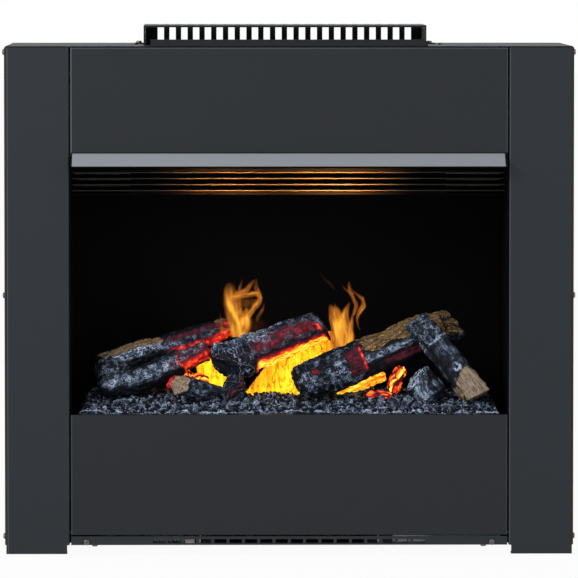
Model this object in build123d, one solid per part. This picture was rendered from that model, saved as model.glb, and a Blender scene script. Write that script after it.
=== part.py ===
from build123d import *
from math import cos, hypot, pi, radians, sin
import os

# A wall-hung electric fire with a water-mist flame. Lengths are in millimetres.
# The front looks along -Y and the wall is the plane Y = 0. While it is built, heights count
# from the underside of the feet. The finished pieces are then lowered, so that the origin is
# the middle of the wall bracket's hole pattern.

# Casing
case_width = 680.0
case_depth = 300.0
case_top = 610.0
case_bottom = 10.8
wall_gap = 10.0
side_flange = 15.0
plate_flange = 13.0
sheet = 1.5
bend_radius = 1.4
fixing_height = 500.0

# Front panels
pilaster_width = 76.0
pilaster_side_return = 25.0
pilaster_inner_return = 30.0
foot_step = 2.9
foot_depth = 20.0
panel_gap = 1.9
base_clearance = 0.5
fascia_bottom = 482.0
fascia_return = 18.0
plinth_height = 10.5

# Plinth air slots, with what shows behind them
slot_count = 18
slot_length = 15.0
slot_height = 4.8
slot_pitch = 18.39
slot_bottom = 2.4
rib_places = (-142.0, 0.0, 142.0)
rib_thickness = 1.2
rib_depth = 9.0

# Drop-down door
door_height = 145.0
door_gap = 1.4
door_return = 10.0
hinge_inset = 3.6
pin_radius = 1.5
pin_clearance = 0.05
pin_head_radius = 2.0
strike_width = 16.0
strike_rise = 3.0
strike_thickness = 4.0
strike_place = 150.0
magnet_height = 12.0
magnet_depth = 12.0
magnet_gap = 0.3

# Heater outlet: deflector, header and louvres
lip_overhang = 22.3
lip_drop = 14.2
lip_setback = 3.0
lip_flange = 18.0
lip_left_gap = 4.1
lip_right_gap = 5.6
ceiling_height = 463.5
outlet_depth = 94.0
header_height = 6.5
louvre_count = 4
louvre_top = 455.3
louvre_pitch = 7.35
louvre_lip = 1.0
louvre_depth = 10.0
louvre_rise = 4.0
louvre_sheet = 1.0

# Firebox and fuel bed
firebox_depth = 213.5
lower_ceiling = 428.5
tray_floor = 150.0
tray_wall = 1.2
tray_height = 16.0
bed_margin = 9.0
bed_side_slope = 13.0
bed_front_step = 1.5
bed_slope = 70.0
bed_rise = 17.0
bed_back = 20.0
bed_lumps = 34
log_gap = 0.25
log_sides = 10

# Heater
duct_half = 190.0
duct_depth = 104.5
duct_top_gap = 8.0
duct_mouth_setback = 13.5
rotor_height = 545.0
rotor_back = 55.0
rotor_radius = 32.0
rotor_blade = 8.0
rotor_blades = 12
rotor_rims = 4
rotor_rim = 1.2
rotor_half = 178.0
shaft_radius = 3.0
shaft_clearance = 0.05
bearing_length = 6.5
motor_radius = 24.0
motor_length = 34.0
element_bottom = 478.0
element_height = 14.0
element_inset = 9.0
element_rail = 6.0
element_fins = 30

# Mist unit
sump_half = 95.0
sump_front = 70.0
sump_depth = 90.0
sump_floor = 40.0
sump_height = 70.0
sump_wall = 2.0
sump_leg = 8.0
nozzle_half = 30.0
nozzle_depth = 20.0
nozzle_back = 14.0
nozzle_rise = 1.5
nozzle_gap = 0.3
disc_radius = 20.0
disc_height = 12.0
stem_radius = 2.0
stem_height = 52.0
stem_place = 60.0
collar_radius = 4.0
collar_height = 2.0
float_radius = 10.0
float_height = 12.0
float_rest = 20.0
float_travel = 12.0
fan_size = 60.0
fan_depth = 15.0
fan_bore = 27.0
fan_tip_gap = 1.0
fan_hub = 12.0
fan_blades = 7

# Lamps
lamp_count = 4
lamp_end_margin = 20.0
lamp_radius = 17.5
lamp_wall = 1.5
lamp_height = 36.0
lamp_shelf = 76.0
lamp_tray_gap = 17.0
lamp_tray_depth = 46.0
lamp_holder_size = 22.0
lamp_holder_height = 14.0

# Water tank
tank_side_gap = 36.5
tank_depth = 127.0
tank_height = 116.0
tank_wall = 2.0
neck_radius = 18.0
neck_wall = 3.0
neck_height = 10.0
cap_wall = 2.5
cap_clearance = 0.08
cap_lift = 2.0
spout_radius = 5.0
spout_height = 38.0
spout_length = 17.0

# Controls
bay_front = 13.0
panel_setback = 25.0
panel_side_gap = 7.5
panel_width = 130.0
panel_top = 140.0
panel_foot = 20.0
control_row = 105.0
rocker_inset = 25.0
rocker_half_width = 5.5
rocker_half_height = 8.0
rocker_tilt = 8.0
rocker_play = 0.5
rocker_wall = 2.0
rocker_rim = 1.5
rocker_body_depth = 16.0
rocker_pivot_radius = 1.0
button_insets = (55.0, 80.0, 105.0)
button_radius = 4.9
button_stand = 5.0
button_travel = 1.5
button_play = 0.05
button_collar = 6.5
knob_inset = 93.0
knob_row = 60.0
knob_radius = 12.0
knob_length = 12.0
knob_grips = 12
pot_radius = 8.5
pot_length = 13.0
board_setback = 12.0
board_thickness = 1.6
board_height = 44.0
standoff_radius = 2.5
standoff_inset = 4.0
transformer_width = 80.0
transformer_depth = 60.0
transformer_height = 58.0
coil_depth = 10.0
gland_inset = 70.0
gland_back = 45.0
gland_bore = 3.9
gland_radius = 7.5
gland_drop = 8.0
gland_rise = 14.0
receiver_slot = 2
receiver_width = 11.5
receiver_depth = 9.0
receiver_height = 6.5
receiver_setback = 5.0

# Fasteners
screw_radius = 1.9
screw_length = 7.0
head_radius = 3.6
head_height = 2.4
socket_radius = 1.75
socket_depth = 1.7
hole_radius = 2.1
side_screw_heights = (21.0, 311.0, 603.0)
side_screw_inset = 12.0
front_screw_inset = 18.5
underside_screw_inset = 28.4
underside_screw_depth = 10.0
top_screw_place = 187.0
top_screw_depth = 137.0

# Wall bracket
bracket_half = 205.0
bracket_half_height = 22.0
bracket_sheet = 2.0
bracket_lip_gap = 4.0
bracket_lip_height = 16.0
fixing_spacing_x = 360.0
fixing_spacing_z = 24.0
fixing_hole = 3.0
hook_half = 30.0
hook_leg = 14.0
hook_place = 150.0
hook_clearance = 0.5

# Air holes low in the rear panel
air_columns = 12
air_rows = 3
air_pitch_x = 30.0
air_pitch_z = 22.0
air_low = 70.0
air_radius = 4.0

# Vent holes, guard and rail on the top plate
vent_columns = 12
vent_rows = 2
vent_rib = 7.0
guard_left = -175.4
guard_right = 167.2
guard_front = 89.0
guard_back = 244.0
guard_height = 24.0
guard_slots = 22
guard_slot = 7.8
guard_pitch = 14.54
guard_end_post = 15.6
guard_top_band = 18.0
guard_lip = 1.0
guard_cheek_slots = 8
guard_tab = 14.0
guard_tab_half = 8.0
guard_tab_depth = 200.0
rail_half = 166.0
rail_height = 8.0
rail_foot = 14.0
rail_chamfer_x = 6.7
rail_chamfer_z = 3.9

# Places that follow from the driving dimensions
half = case_width / 2
back = -wall_gap
back_inner = back - sheet
front = back - case_depth
front_inner = front + sheet
opening_half = half - pilaster_width
panel_half = opening_half - panel_gap
base_top = case_bottom + sheet
top_under = case_top - sheet
door_bottom = case_bottom + plinth_height + door_gap
door_top = door_bottom + door_height
hinge_y = front + hinge_inset
hinge_z = door_bottom + hinge_inset
firebox_half = opening_half - sheet
lip_left = -opening_half + lip_left_gap
lip_right = opening_half - lip_right_gap
bed_half = firebox_half - bed_margin
bed_edge = tray_floor + tray_height + bed_front_step
bed_crown = bed_edge + bed_rise
nozzle_top = bed_crown + nozzle_rise
firebox_back_y = front + firebox_depth
outlet_y = front + outlet_depth
bay_y = front + bay_front
duct_front = outlet_y + sheet
duct_back = duct_front + duct_depth
duct_top = case_top - duct_top_gap
rotor_y = duct_front + rotor_back
panel_y = front + panel_setback
panel_right = firebox_half - panel_side_gap
panel_left = panel_right - panel_width
lamp_tray_half = panel_left - lamp_tray_gap
lamp_pitch = 2 * (lamp_tray_half - lamp_end_margin) / (lamp_count - 1)
rocker_place = panel_left + rocker_inset
button_places = [panel_left + inset for inset in button_insets]
knob_place = panel_left + knob_inset
tank_left = -firebox_half + tank_side_gap
tank_right = -sump_half - spout_length
gland_place = half - gland_inset
front_screw_place = panel_half - front_screw_inset
underside_screw_place = panel_half - underside_screw_inset


def block(x0, x1, y0, y1, z0, z1):
    """A box between two corners."""
    return Pos((x0 + x1) / 2, (y0 + y1) / 2, (z0 + z1) / 2) * Box(x1 - x0, y1 - y0, z1 - z0)


def rod(start, direction, radius, length):
    """A round bar from a start point along a direction."""
    place = Plane(origin=start, z_dir=direction).location
    return place * Cylinder(radius, length, align=(Align.CENTER, Align.CENTER, Align.MIN))


def other_side(piece):
    """The same piece on the other side of the middle plane."""
    return mirror(piece, about=Plane.YZ)


def prism_x(points, x0, x1):
    """A closed (y, z) outline drawn out along X."""
    face = Plane.YZ * Polygon(*points, align=None)
    return Pos(x0, 0, 0) * extrude(face, amount=x1 - x0, dir=(1, 0, 0))


def folded_strip(points, x0, x1, thickness):
    """Sheet folded along X, whose middle line runs through the given (y, z) points."""
    normals = []
    for (y0, z0), (y1, z1) in zip(points, points[1:]):
        run = hypot(y1 - y0, z1 - z0)
        normals.append(((z0 - z1) / run, (y1 - y0) / run))
    joined = [normals[0]]
    for (a, b), (c, d) in zip(normals, normals[1:]):
        share = 1 + a * c + b * d
        joined.append(((a + c) / share, (b + d) / share))
    joined.append(normals[-1])
    reach = thickness / 2
    upper = [(y + reach * a, z + reach * b) for (y, z), (a, b) in zip(points, joined)]
    lower = [(y - reach * a, z - reach * b) for (y, z), (a, b) in zip(points, joined)]
    return prism_x(upper + lower[::-1], x0, x1)


def front_edges(piece):
    """The edges that lie in the front plane."""
    return piece.edges().filter_by_position(Axis.Y, front - 0.01, front + 0.01)


def front_pan(x0, x1, z0, z1, depth):
    """A folded front panel: a face with a return along each of its four sides."""
    outer = block(x0, x1, front, front + depth, z0, z1)
    outer = fillet(front_edges(outer), bend_radius)
    return outer - block(x0 + sheet, x1 - sheet, front_inner, front + depth, z0 + sheet, z1 - sheet)


def screw(place, inward):
    """A pan-head screw with a hexagon socket; place is under its head."""
    head = Cylinder(head_radius, head_height, align=(Align.CENTER, Align.CENTER, Align.MIN))
    head = fillet(head.edges().sort_by(Axis.Z)[-1], head_height * 0.7)
    socket = extrude(RegularPolygon(socket_radius, 6), amount=socket_depth)
    head -= Pos(0, 0, head_height - socket_depth) * socket
    shank = Cylinder(screw_radius, screw_length, align=(Align.CENTER, Align.CENTER, Align.MAX))
    outward = (-inward[0], -inward[1], -inward[2])
    return Plane(origin=place, z_dir=outward).location * (head + shank)


def screw_places():
    """Every pan-head screw: the point under its head, and the way it points."""
    places = []
    for side in (-1, 1):
        for height in side_screw_heights:
            places.append(((side * (half + sheet), front + side_screw_inset, height), (-side, 0, 0)))
        plinth_middle = case_bottom + plinth_height / 3
        places.append(((side * front_screw_place, front, plinth_middle), (0, 1, 0)))
        place = (side * underside_screw_place, front + underside_screw_depth, case_bottom)
        places.append((place, (0, 0, 1)))
        places.append(((side * top_screw_place, front + top_screw_depth, case_top), (0, 0, -1)))
    for x in (guard_left - guard_tab / 2, guard_right + guard_tab / 2):
        places.append(((x, front + guard_tab_depth, case_top + sheet), (0, 0, -1)))
    return places


def drilled(piece):
    """The piece with a clearance hole for each screw that passes through it."""
    for place, inward in screw_places():
        piece -= rod(place, inward, hole_radius, screw_length + 1)
    return piece


def pan_head_screws():
    return Compound([screw(place, inward) for place, inward in screw_places()])


# Casing


def rear_panel():
    outer = half + sheet
    panel = block(-outer, outer, back_inner, back, case_bottom, case_top)
    lip_z = fixing_height + bracket_half_height + bracket_lip_height
    lip_y = -bracket_sheet - bracket_lip_gap
    leg_y = lip_y + hook_clearance
    for x in (-hook_place, hook_place):
        arm = block(x - hook_half, x + hook_half, back, leg_y + sheet, lip_z, lip_z + sheet)
        leg = block(x - hook_half, x + hook_half, leg_y, leg_y + sheet, lip_z - hook_leg, lip_z)
        panel += arm + leg
    for column in range(air_columns):
        for row in range(air_rows):
            x = (column - (air_columns - 1) / 2) * air_pitch_x
            z = air_low + air_pitch_z * row
            panel -= rod((x, back_inner - 1, z), (0, 1, 0), air_radius, sheet + 2)
    return panel


def side_panel(side):
    panel = block(half, half + sheet, front + 2 * sheet, back_inner, case_bottom, top_under)
    flange = block(half - side_flange, half, back_inner - sheet, back_inner, base_top, top_under - sheet)
    panel = drilled(panel + flange)
    return panel if side > 0 else other_side(panel)


def guard_inside():
    """The inner corners of the guard on the top plate: x0, x1, y0, y1."""
    return (guard_left + sheet, guard_right - sheet, front + guard_front, front + guard_back - sheet)


def top_plate():
    plate = block(-half, half, front, back_inner, top_under, case_top)
    for side in (-1, 1):
        x0, x1 = sorted((side * (half - sheet), side * half))
        y0 = front + pilaster_side_return + 1
        plate += block(x0, x1, y0, back_inner - 2 * sheet, top_under - plate_flange, top_under)
    x0, x1, y0, y1 = guard_inside()
    step_x = (x1 - x0 - vent_rib) / vent_columns
    step_y = (y1 - y0 - vent_rib) / vent_rows
    hole_x = step_x - vent_rib
    hole_y = step_y - vent_rib
    for column in range(vent_columns):
        for row in range(vent_rows):
            x = x0 + vent_rib + step_x * column
            y = y0 + vent_rib + step_y * row
            plate -= block(x, x + hole_x, y, y + hole_y, top_under - 1, case_top + 1)
    return drilled(plate)


def plinth_slot_place(i):
    """The middle of one of the plinth's air slots, counted from the left."""
    return (i - (slot_count - 1) / 2) * slot_pitch


def base_plate():
    behind = front + pilaster_inner_return + base_clearance
    plate = block(-half, half, behind, back_inner, case_bottom, base_top)
    plate += block(-panel_half, panel_half, front, behind, case_bottom, base_top)
    plate += block(-panel_half, panel_half, front, front_inner, case_bottom, case_bottom + plinth_height)
    low_edge = front_edges(plate).filter_by(Axis.X).sort_by(Axis.Z)[0]
    plate = fillet(low_edge, bend_radius)
    slot_z = case_bottom + slot_bottom + slot_height / 2
    for i in range(slot_count):
        opening = Plane.XZ * RectangleRounded(slot_length, slot_height, slot_height / 5)
        cutter = extrude(opening, amount=2 * sheet, both=True)
        plate -= Pos(plinth_slot_place(i), front, slot_z) * cutter
    for x in rib_places:
        y0 = front + 2 * sheet
        plate += block(x, x + rib_thickness, y0, y0 + rib_depth, base_top, base_top + slot_height + 2)
    plate -= rod((gland_place, back - gland_back, case_bottom - 1), (0, 0, 1), gland_radius, sheet + 2)
    return drilled(plate)


def pilaster(side):
    face = block(opening_half, half, front, front_inner, case_bottom, top_under)
    face += block(half - sheet, half, front, front + pilaster_side_return, case_bottom, top_under)
    inner = front + pilaster_inner_return
    face += block(opening_half, opening_half + sheet, front, inner, case_bottom, top_under)
    foot_x = opening_half + foot_step
    face += block(foot_x, half, front, front_inner, 0, case_bottom)
    face += block(foot_x, half, front, front + foot_depth, 0, sheet)
    long_edges = front_edges(face).filter_by(Axis.Z).sort_by(Edge.length)[-2:]
    low_edge = front_edges(face).filter_by(Axis.X).sort_by(Axis.Z)[0]
    face = fillet(long_edges + [low_edge], bend_radius)
    face -= rod((opening_half - 1, hinge_y, hinge_z), (1, 0, 0), pin_radius + pin_clearance, sheet + 2)
    face = drilled(face)
    return face if side > 0 else other_side(face)


def top_fascia():
    return front_pan(-panel_half, panel_half, fascia_bottom, top_under, fascia_return)


def wall_bracket():
    low = fixing_height - bracket_half_height
    high = fixing_height + bracket_half_height
    lip_y = -bracket_sheet - bracket_lip_gap
    bracket = block(-bracket_half, bracket_half, -bracket_sheet, 0, low, high)
    shelf = high - bracket_sheet
    bracket += block(-bracket_half, bracket_half, lip_y - bracket_sheet, 0, shelf, high)
    lip_top = high + bracket_lip_height
    bracket += block(-bracket_half, bracket_half, lip_y - bracket_sheet, lip_y, high, lip_top)
    for x in (-fixing_spacing_x / 2, fixing_spacing_x / 2):
        for z in (-fixing_spacing_z / 2, fixing_spacing_z / 2):
            bracket -= rod((x, -10, fixing_height + z), (0, 1, 0), fixing_hole, 12)
    return bracket


def vent_guard():
    x0, x1, y0, y1 = guard_inside()
    top = case_top + guard_height
    guard = block(guard_left, guard_right, y0, y1 + sheet, case_top, top)
    guard -= block(x0, x1, y0, y1, case_top, top - sheet)
    guard -= block(x0, x1, y0 - 1, y0 + sheet, case_top, top - sheet)
    guard += block(x0, x1, y0, y0 + sheet, top - sheet - guard_lip, top - sheet)
    post = guard_left + guard_end_post
    for i in range(guard_slots):
        x = post + guard_pitch * i
        low = case_top + 2 * sheet
        guard -= block(x, x + guard_slot, y0 + guard_top_band, y1 + sheet + 1, low, top + 1)
        guard += block(x, x + guard_slot, y0 + guard_top_band, y1 - guard_top_band, top - sheet, top)
    for i in range(guard_cheek_slots):
        y = y0 + guard_end_post + guard_pitch * (i + 0.5)
        low = case_top + 2 * sheet
        guard -= block(guard_left - 1, guard_right + 1, y, y + guard_slot, low, top - 3 * sheet)
    tab_y = front + guard_tab_depth
    for x, outward in ((guard_left, -1), (guard_right, 1)):
        a, b = sorted((x, x + outward * guard_tab))
        guard += block(a, b, tab_y - guard_tab_half, tab_y + guard_tab_half, case_top, case_top + sheet)
    return drilled(guard)


def top_rail():
    top = case_top + rail_height
    rail = block(-rail_half, rail_half, front + 1, front + 1 + sheet, case_top, top)
    rail += block(-rail_half, rail_half, front + 1, front + 1 + rail_foot, case_top, case_top + sheet)
    corner = [
        (rail_half - rail_chamfer_x, top + 1),
        (rail_half - rail_chamfer_x, top),
        (rail_half, top - rail_chamfer_z),
        (rail_half + 1, top - rail_chamfer_z),
        (rail_half + 1, top + 1),
    ]
    cutter = extrude(Plane.XZ * Polygon(*corner, align=None), amount=rail_foot, both=True)
    return rail - Pos(0, front, 0) * cutter


# Door


def door_panel():
    door = front_pan(-panel_half, panel_half, door_bottom, door_top, door_return)
    for x in (-strike_place, strike_place):
        low = tray_floor - magnet_height + strike_rise
        strike_back = bay_y - magnet_gap
        high = low + strike_thickness
        half_strike = strike_width / 2
        door += block(x - half_strike, x + half_strike, front_inner, strike_back, low, high)
    for side in (-1, 1):
        door -= rod((side * (panel_half - 3), hinge_y, hinge_z), (side, 0, 0), pin_radius, 4)
    return door


def door_hinge_pins():
    inside = panel_half - sheet
    reach = opening_half + 2 * sheet - inside
    pin = rod((inside, hinge_y, hinge_z), (1, 0, 0), pin_radius, reach)
    pin += rod((inside, hinge_y, hinge_z), (-1, 0, 0), pin_head_radius, sheet)
    return Compound([pin, other_side(pin)])


def catch_magnets():
    magnets = []
    for x in (-strike_place, strike_place):
        half_magnet = strike_width / 2 + 2
        low = tray_floor - magnet_height
        body = block(x - half_magnet, x + half_magnet, bay_y, bay_y + magnet_depth, low, tray_floor)
        groove = block(x - half_magnet, x + half_magnet, bay_y, bay_y + 1, low + 8, low + 10)
        magnets.append(body - groove)
    return Compound(magnets)


# Heater outlet


def outlet_lip():
    flange_z = fascia_bottom - sheet / 2
    points = [
        (front + lip_flange, flange_z),
        (front + lip_setback, flange_z),
        (front - lip_overhang, flange_z - lip_drop),
        (front - lip_overhang + 3, flange_z - lip_drop - 1),
    ]
    return folded_strip(points, lip_left, lip_right, sheet)


def outlet_louvres():
    slats = []
    for i in range(louvre_count):
        z = louvre_top - louvre_pitch * i
        y = outlet_y + 2
        points = [
            (y, z - louvre_lip / 2),
            (y, z + louvre_lip / 2),
            (y + louvre_depth, z + louvre_lip / 2 + louvre_rise),
        ]
        slats.append(folded_strip(points, -firebox_half, firebox_half, louvre_sheet))
    return Compound(slats)


# Firebox


def firebox_side(side):
    y0 = front + 2 * sheet
    wall = block(firebox_half, opening_half, y0, firebox_back_y, tray_floor, ceiling_height)
    return wall if side > 0 else other_side(wall)


def firebox_ceiling():
    middle = ceiling_height + sheet / 2
    header = ceiling_height - header_height
    points = [
        (front + 2 * sheet, middle),
        (outlet_y + sheet / 2, middle),
        (outlet_y + sheet / 2, header),
    ]
    return folded_strip(points, -firebox_half, firebox_half, sheet)


def firebox_back():
    middle = lower_ceiling + sheet / 2
    points = [
        (duct_front, middle),
        (firebox_back_y + sheet / 2, middle),
        (firebox_back_y + sheet / 2, tray_floor),
    ]
    return folded_strip(points, -firebox_half, firebox_half, sheet)


def nozzle_block(grow):
    """The mist chimney's outside, larger all round by grow."""
    y0 = bay_y + sump_front + nozzle_back
    x = nozzle_half + grow
    return block(-x, x, y0 - grow, y0 + nozzle_depth + grow, sump_floor + sump_height, nozzle_top + grow)


def fuel_bed_tray():
    y0 = front + door_return + 1
    top = tray_floor + tray_height
    tray = block(-firebox_half, firebox_half, y0, firebox_back_y, tray_floor, top)
    inner = firebox_half - tray_wall
    y1 = firebox_back_y - tray_wall
    tray -= block(-inner, inner, y0 + tray_wall, y1, tray_floor + tray_wall, top)
    for x in lamp_places():
        tray -= rod((x, lamp_y(), tray_floor - 1), (0, 0, 1), lamp_radius, tray_wall + 2)
    return tray - nozzle_block(nozzle_gap)


def bed_height(y):
    """How high the bed stands at a given depth, between its front edge and its crown."""
    front_edge = front + door_return + 1 + tray_wall
    share = min(1, max(0, (y - front_edge) / bed_slope))
    return bed_edge + bed_rise * sin(share * pi / 2)


def bed_slab():
    y0 = front + door_return + 1 + tray_wall
    y1 = firebox_back_y - bed_back
    floor = tray_floor + tray_wall
    steps = [share * bed_slope for share in (0, 0.17, 0.36, 0.6, 1)]
    crown = [(y0 + step, bed_height(y0 + step)) for step in steps]
    outline = [(y0, floor)] + crown + [(y1, bed_crown), (y1, floor)]
    slab = prism_x(outline, -bed_half, bed_half)
    high = bed_crown + 20
    lean = bed_side_slope * (high - bed_edge) / bed_rise
    ends = [
        (-bed_half, floor),
        (bed_half, floor),
        (bed_half, bed_edge),
        (bed_half - lean, high),
        (-bed_half + lean, high),
        (-bed_half, bed_edge),
    ]
    envelope = extrude(Plane.XZ * Polygon(*ends, align=None), amount=2 * case_depth, both=True)
    return slab & envelope


def char_lumps():
    """Rounded lumps of char, spread evenly over the bed's front slope and crown."""
    golden = 0.618034
    lumps = []
    for i in range(bed_lumps):
        x = (bed_half - 15) * (2 * ((i * golden) % 1) - 1)
        y = front + 26 + 8 * (i % 5) + 3 * (i % 2)
        radius = 8 + 1.3 * (i % 4)
        lumps.append(Pos(x, y, bed_height(y) - radius + 4 + (i % 3)) * Sphere(radius))
    return lumps


def lump_body(centre, size, turn, grow=0.0):
    """A faceted block of char with its corners knocked off."""
    x, y, z = size
    body = Box(x + 2 * grow, y + 2 * grow, z + 2 * grow)
    body = chamfer(body.edges(), min(size) * 0.28)
    return Pos(*centre) * Rot(*turn) * body


def log_body(points, radii, phase, grow=0.0):
    """A charred log: ruled between irregular cross sections along its bent axis."""
    sections = []
    for i, (point, radius) in enumerate(zip(points, radii)):
        before = Vector(*points[max(i - 1, 0)])
        after = Vector(*points[min(i + 1, len(points) - 1)])
        plane = Plane(origin=point, x_dir=(0, 0, 1), z_dir=after - before)
        corners = []
        for k in range(log_sides):
            angle = 2 * pi * k / log_sides
            swell = 1 + 0.09 * sin(3 * angle + phase + i) + 0.05 * sin(2 * angle + 2 * i)
            reach = radius * swell + grow
            corners.append((reach * cos(angle), reach * sin(angle)))
        sections.append(plane * Polygon(*corners, align=None))
    return loft(sections, ruled=True)


def laid(start, points):
    """Points over the bed: across from start, behind the front plane, above the tray's floor."""
    return [(start + x, front + y, tray_floor + z) for x, y, z in points]


def upper_left(grow=0.0):
    bend = [(29.5, 71, 69), (63.5, 88, 82), (103.5, 103, 91), (141.5, 117, 101), (177.5, 130, 113)]
    points = laid(-bed_half, bend)
    return log_body(points, [15, 17, 15, 14, 8], 0.4, grow)


def lower_left(grow=0.0):
    points = laid(-bed_half, [(31.5, 56, 46.5), (63.5, 64, 53), (103.5, 78, 64), (141.5, 91, 76)])
    return log_body(points, [14, 15, 14, 12], 2.1, grow)


def middle(grow=0.0):
    points = laid(0, [(-88, 58, 82), (-66, 64, 80), (-40, 74, 88), (0, 94, 107), (46, 113, 121)])
    return log_body(points, [14, 23, 22, 16, 13], 1.2, grow)


def long_right(grow=0.0):
    bend = [(-239.5, 44, 53), (-207.5, 56, 63), (-153.5, 77, 84), (-97.5, 97, 104), (-47.5, 111, 118)]
    points = laid(bed_half, bend)
    return log_body(points, [21, 24, 22, 21, 13], 3.3, grow)


def leaning(grow=0.0):
    points = laid(bed_half, [(-100.5, 70, 129), (-77.5, 63, 101), (-49.5, 54, 65), (-24.5, 44, 34)])
    return log_body(points, [13, 15, 14.5, 14], 5.0, grow)


def chunk_left(grow=0.0):
    points = laid(0, [(-138, 38, 45), (-112, 40, 44), (-82, 44, 39)])
    return log_body(points, [10, 13, 10], 0.9, grow)


def chunk_right(grow=0.0):
    place = laid(bed_half, [(-89.5, 52, 42)])[0]
    return lump_body(place, (44, 26, 34), (8, 12, -6), grow)


def loose_lumps(grow=0.0):
    """Glowing lumps that prop the logs."""
    places = laid(0, [(-67, 52, 47), (104, 72, 43), (136, 78, 46), (-138, 105, 50)])
    sizes = [(27, 24, 36), (30, 22, 22), (22, 20, 28), (40, 26, 34)]
    turns = [(6, 12, 15), (0, 10, 20), (15, -10, 0), (0, 8, -12)]
    return [lump_body(*lump, grow) for lump in zip(places, sizes, turns)]


def fuel_bed():
    """The bed and all that lies on it, each cut clear of what was laid before it."""
    pieces = {}
    cutters = []
    for name, maker in (
        ("log_middle", middle),
        ("log_long_right", long_right),
        ("log_lower_left", lower_left),
        ("log_upper_left", upper_left),
        ("log_leaning", leaning),
        ("log_chunk_left", chunk_left),
        ("log_chunk_right", chunk_right),
    ):
        body = maker()
        for cutter in cutters:
            body = body - cutter
        pieces[name] = largest(body)
        cutters.append(maker(log_gap))
    lumps = []
    for body in loose_lumps():
        for cutter in cutters:
            body = body - cutter
        lumps.append(largest(body))
    cutters += loose_lumps(log_gap)
    pieces["ember_lumps"] = Compound(lumps)
    bed = bed_slab()
    for lump in char_lumps():
        bed += lump
    for cutter in cutters:
        bed -= cutter
    pieces["ember_bed"] = largest(bed - nozzle_block(nozzle_gap))
    return pieces


def largest(shape):
    """The biggest solid that a cut leaves."""
    return shape.solids().sort_by(SortBy.VOLUME)[-1]


# Heater


def heater_duct():
    outer = duct_half + sheet
    floor = lower_ceiling + sheet
    duct = block(-outer, outer, duct_front, duct_back, floor, duct_top)
    inner_back = duct_back - sheet
    duct -= block(-duct_half, duct_half, duct_front + sheet, inner_back, floor + sheet, duct_top)
    mouth_back = duct_front + duct_mouth_setback
    duct -= block(-outer, outer, duct_front, mouth_back, floor + sheet, ceiling_height)
    duct += rod((-outer, rotor_y, rotor_height), (-1, 0, 0), 3 * shaft_radius, bearing_length - sheet)
    bore = shaft_radius + shaft_clearance
    start = -outer - bearing_length
    return duct - rod((start, rotor_y, rotor_height), (1, 0, 0), bore, 2 * outer + 2 * bearing_length)


def heater_motor():
    start = duct_half + sheet
    motor = rod((start, rotor_y, rotor_height), (1, 0, 0), motor_radius, motor_length)
    motor = chamfer(motor.edges().sort_by(Axis.X)[-1], 3)
    for angle in range(0, 360, 45):
        y = rotor_y + (motor_radius - 2) * cos(radians(angle))
        z = rotor_height + (motor_radius - 2) * sin(radians(angle))
        motor -= rod((start + 6, y, z), (1, 0, 0), 1.5, motor_length)
    bore = shaft_radius + shaft_clearance
    return motor - rod((start, rotor_y, rotor_height), (1, 0, 0), bore, motor_length - 8)


def heater_rotor():
    start = -duct_half - bearing_length
    length = -start + duct_half + sheet + motor_length - 12
    rotor = rod((start, rotor_y, rotor_height), (1, 0, 0), shaft_radius, length)
    for i in range(rotor_rims):
        x = -rotor_half + i * (2 * rotor_half - rotor_rim) / (rotor_rims - 1)
        rotor += rod((x, rotor_y, rotor_height), (1, 0, 0), rotor_radius, rotor_rim)
    for i in range(rotor_blades):
        blade = Box(2 * rotor_half, rotor_blade, 1)
        turn = Rot(360 * i / rotor_blades, 0, 0)
        outward = Pos(0, rotor_radius - rotor_blade / 2 - 1, 0)
        rotor += Pos(0, rotor_y, rotor_height) * turn * outward * Rot(30, 0, 0) * blade
    return rotor


def heater_element():
    y0 = duct_front + element_inset
    y1 = duct_back - element_inset
    top = element_bottom + element_height
    rails = []
    for y in (y0, (y0 + y1 - element_rail) / 2, y1 - element_rail):
        rails.append(block(-duct_half, duct_half, y, y + element_rail, element_bottom, top))
    element = rails[0] + rails[1] + rails[2]
    for i in range(element_fins):
        x = -duct_half + 2 * duct_half * (i + 0.5) / element_fins
        element += block(x - 0.5, x + 0.5, y0, y1, element_bottom + 1, top - 1)
    return element


# Lamps


def lamp_places():
    return [(i - (lamp_count - 1) / 2) * lamp_pitch for i in range(lamp_count)]


def lamp_y():
    return bay_y + lamp_tray_depth / 2


def lamp_tray():
    y1 = bay_y + lamp_tray_depth
    tray = block(-lamp_tray_half, lamp_tray_half, bay_y, y1, base_top, lamp_shelf + sheet)
    inner = lamp_tray_half - sheet
    tray -= block(-inner, inner, bay_y, y1, base_top, lamp_shelf)
    for x in lamp_places():
        tray -= rod((x, lamp_y(), lamp_shelf - 1), (0, 0, 1), lamp_holder_size / 4, sheet + 2)
    return tray


def lamp_holders():
    holders = []
    low = lamp_shelf + sheet
    reach = lamp_holder_size / 2
    for x in lamp_places():
        y = lamp_y()
        holder = block(x - reach, x + reach, y - reach, y + reach, low, low + lamp_holder_height)
        holder += rod((x, y, low), (0, 0, -1), lamp_holder_size / 4 - 0.2, 6)
        holders.append(chamfer(holder.edges().filter_by(Axis.Z), 2))
    return Compound(holders)


def lamps():
    bulbs = []
    low = lamp_shelf + sheet + lamp_holder_height
    for x in lamp_places():
        standing = (Align.CENTER, Align.CENTER, Align.MIN)
        outer = Cone(lamp_radius / 3, lamp_radius, lamp_height, align=standing)
        cup = Cone(lamp_radius / 3, lamp_radius - lamp_wall, lamp_height, align=standing)
        bulb = outer - Pos(0, 0, 8) * cup
        bulb += Pos(0, 0, 6) * Cylinder(4, 16, align=standing)
        bulbs.append(Pos(x, lamp_y(), low) * bulb)
    return Compound(bulbs)


# Mist unit


def sump_y():
    return bay_y + sump_front


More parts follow.
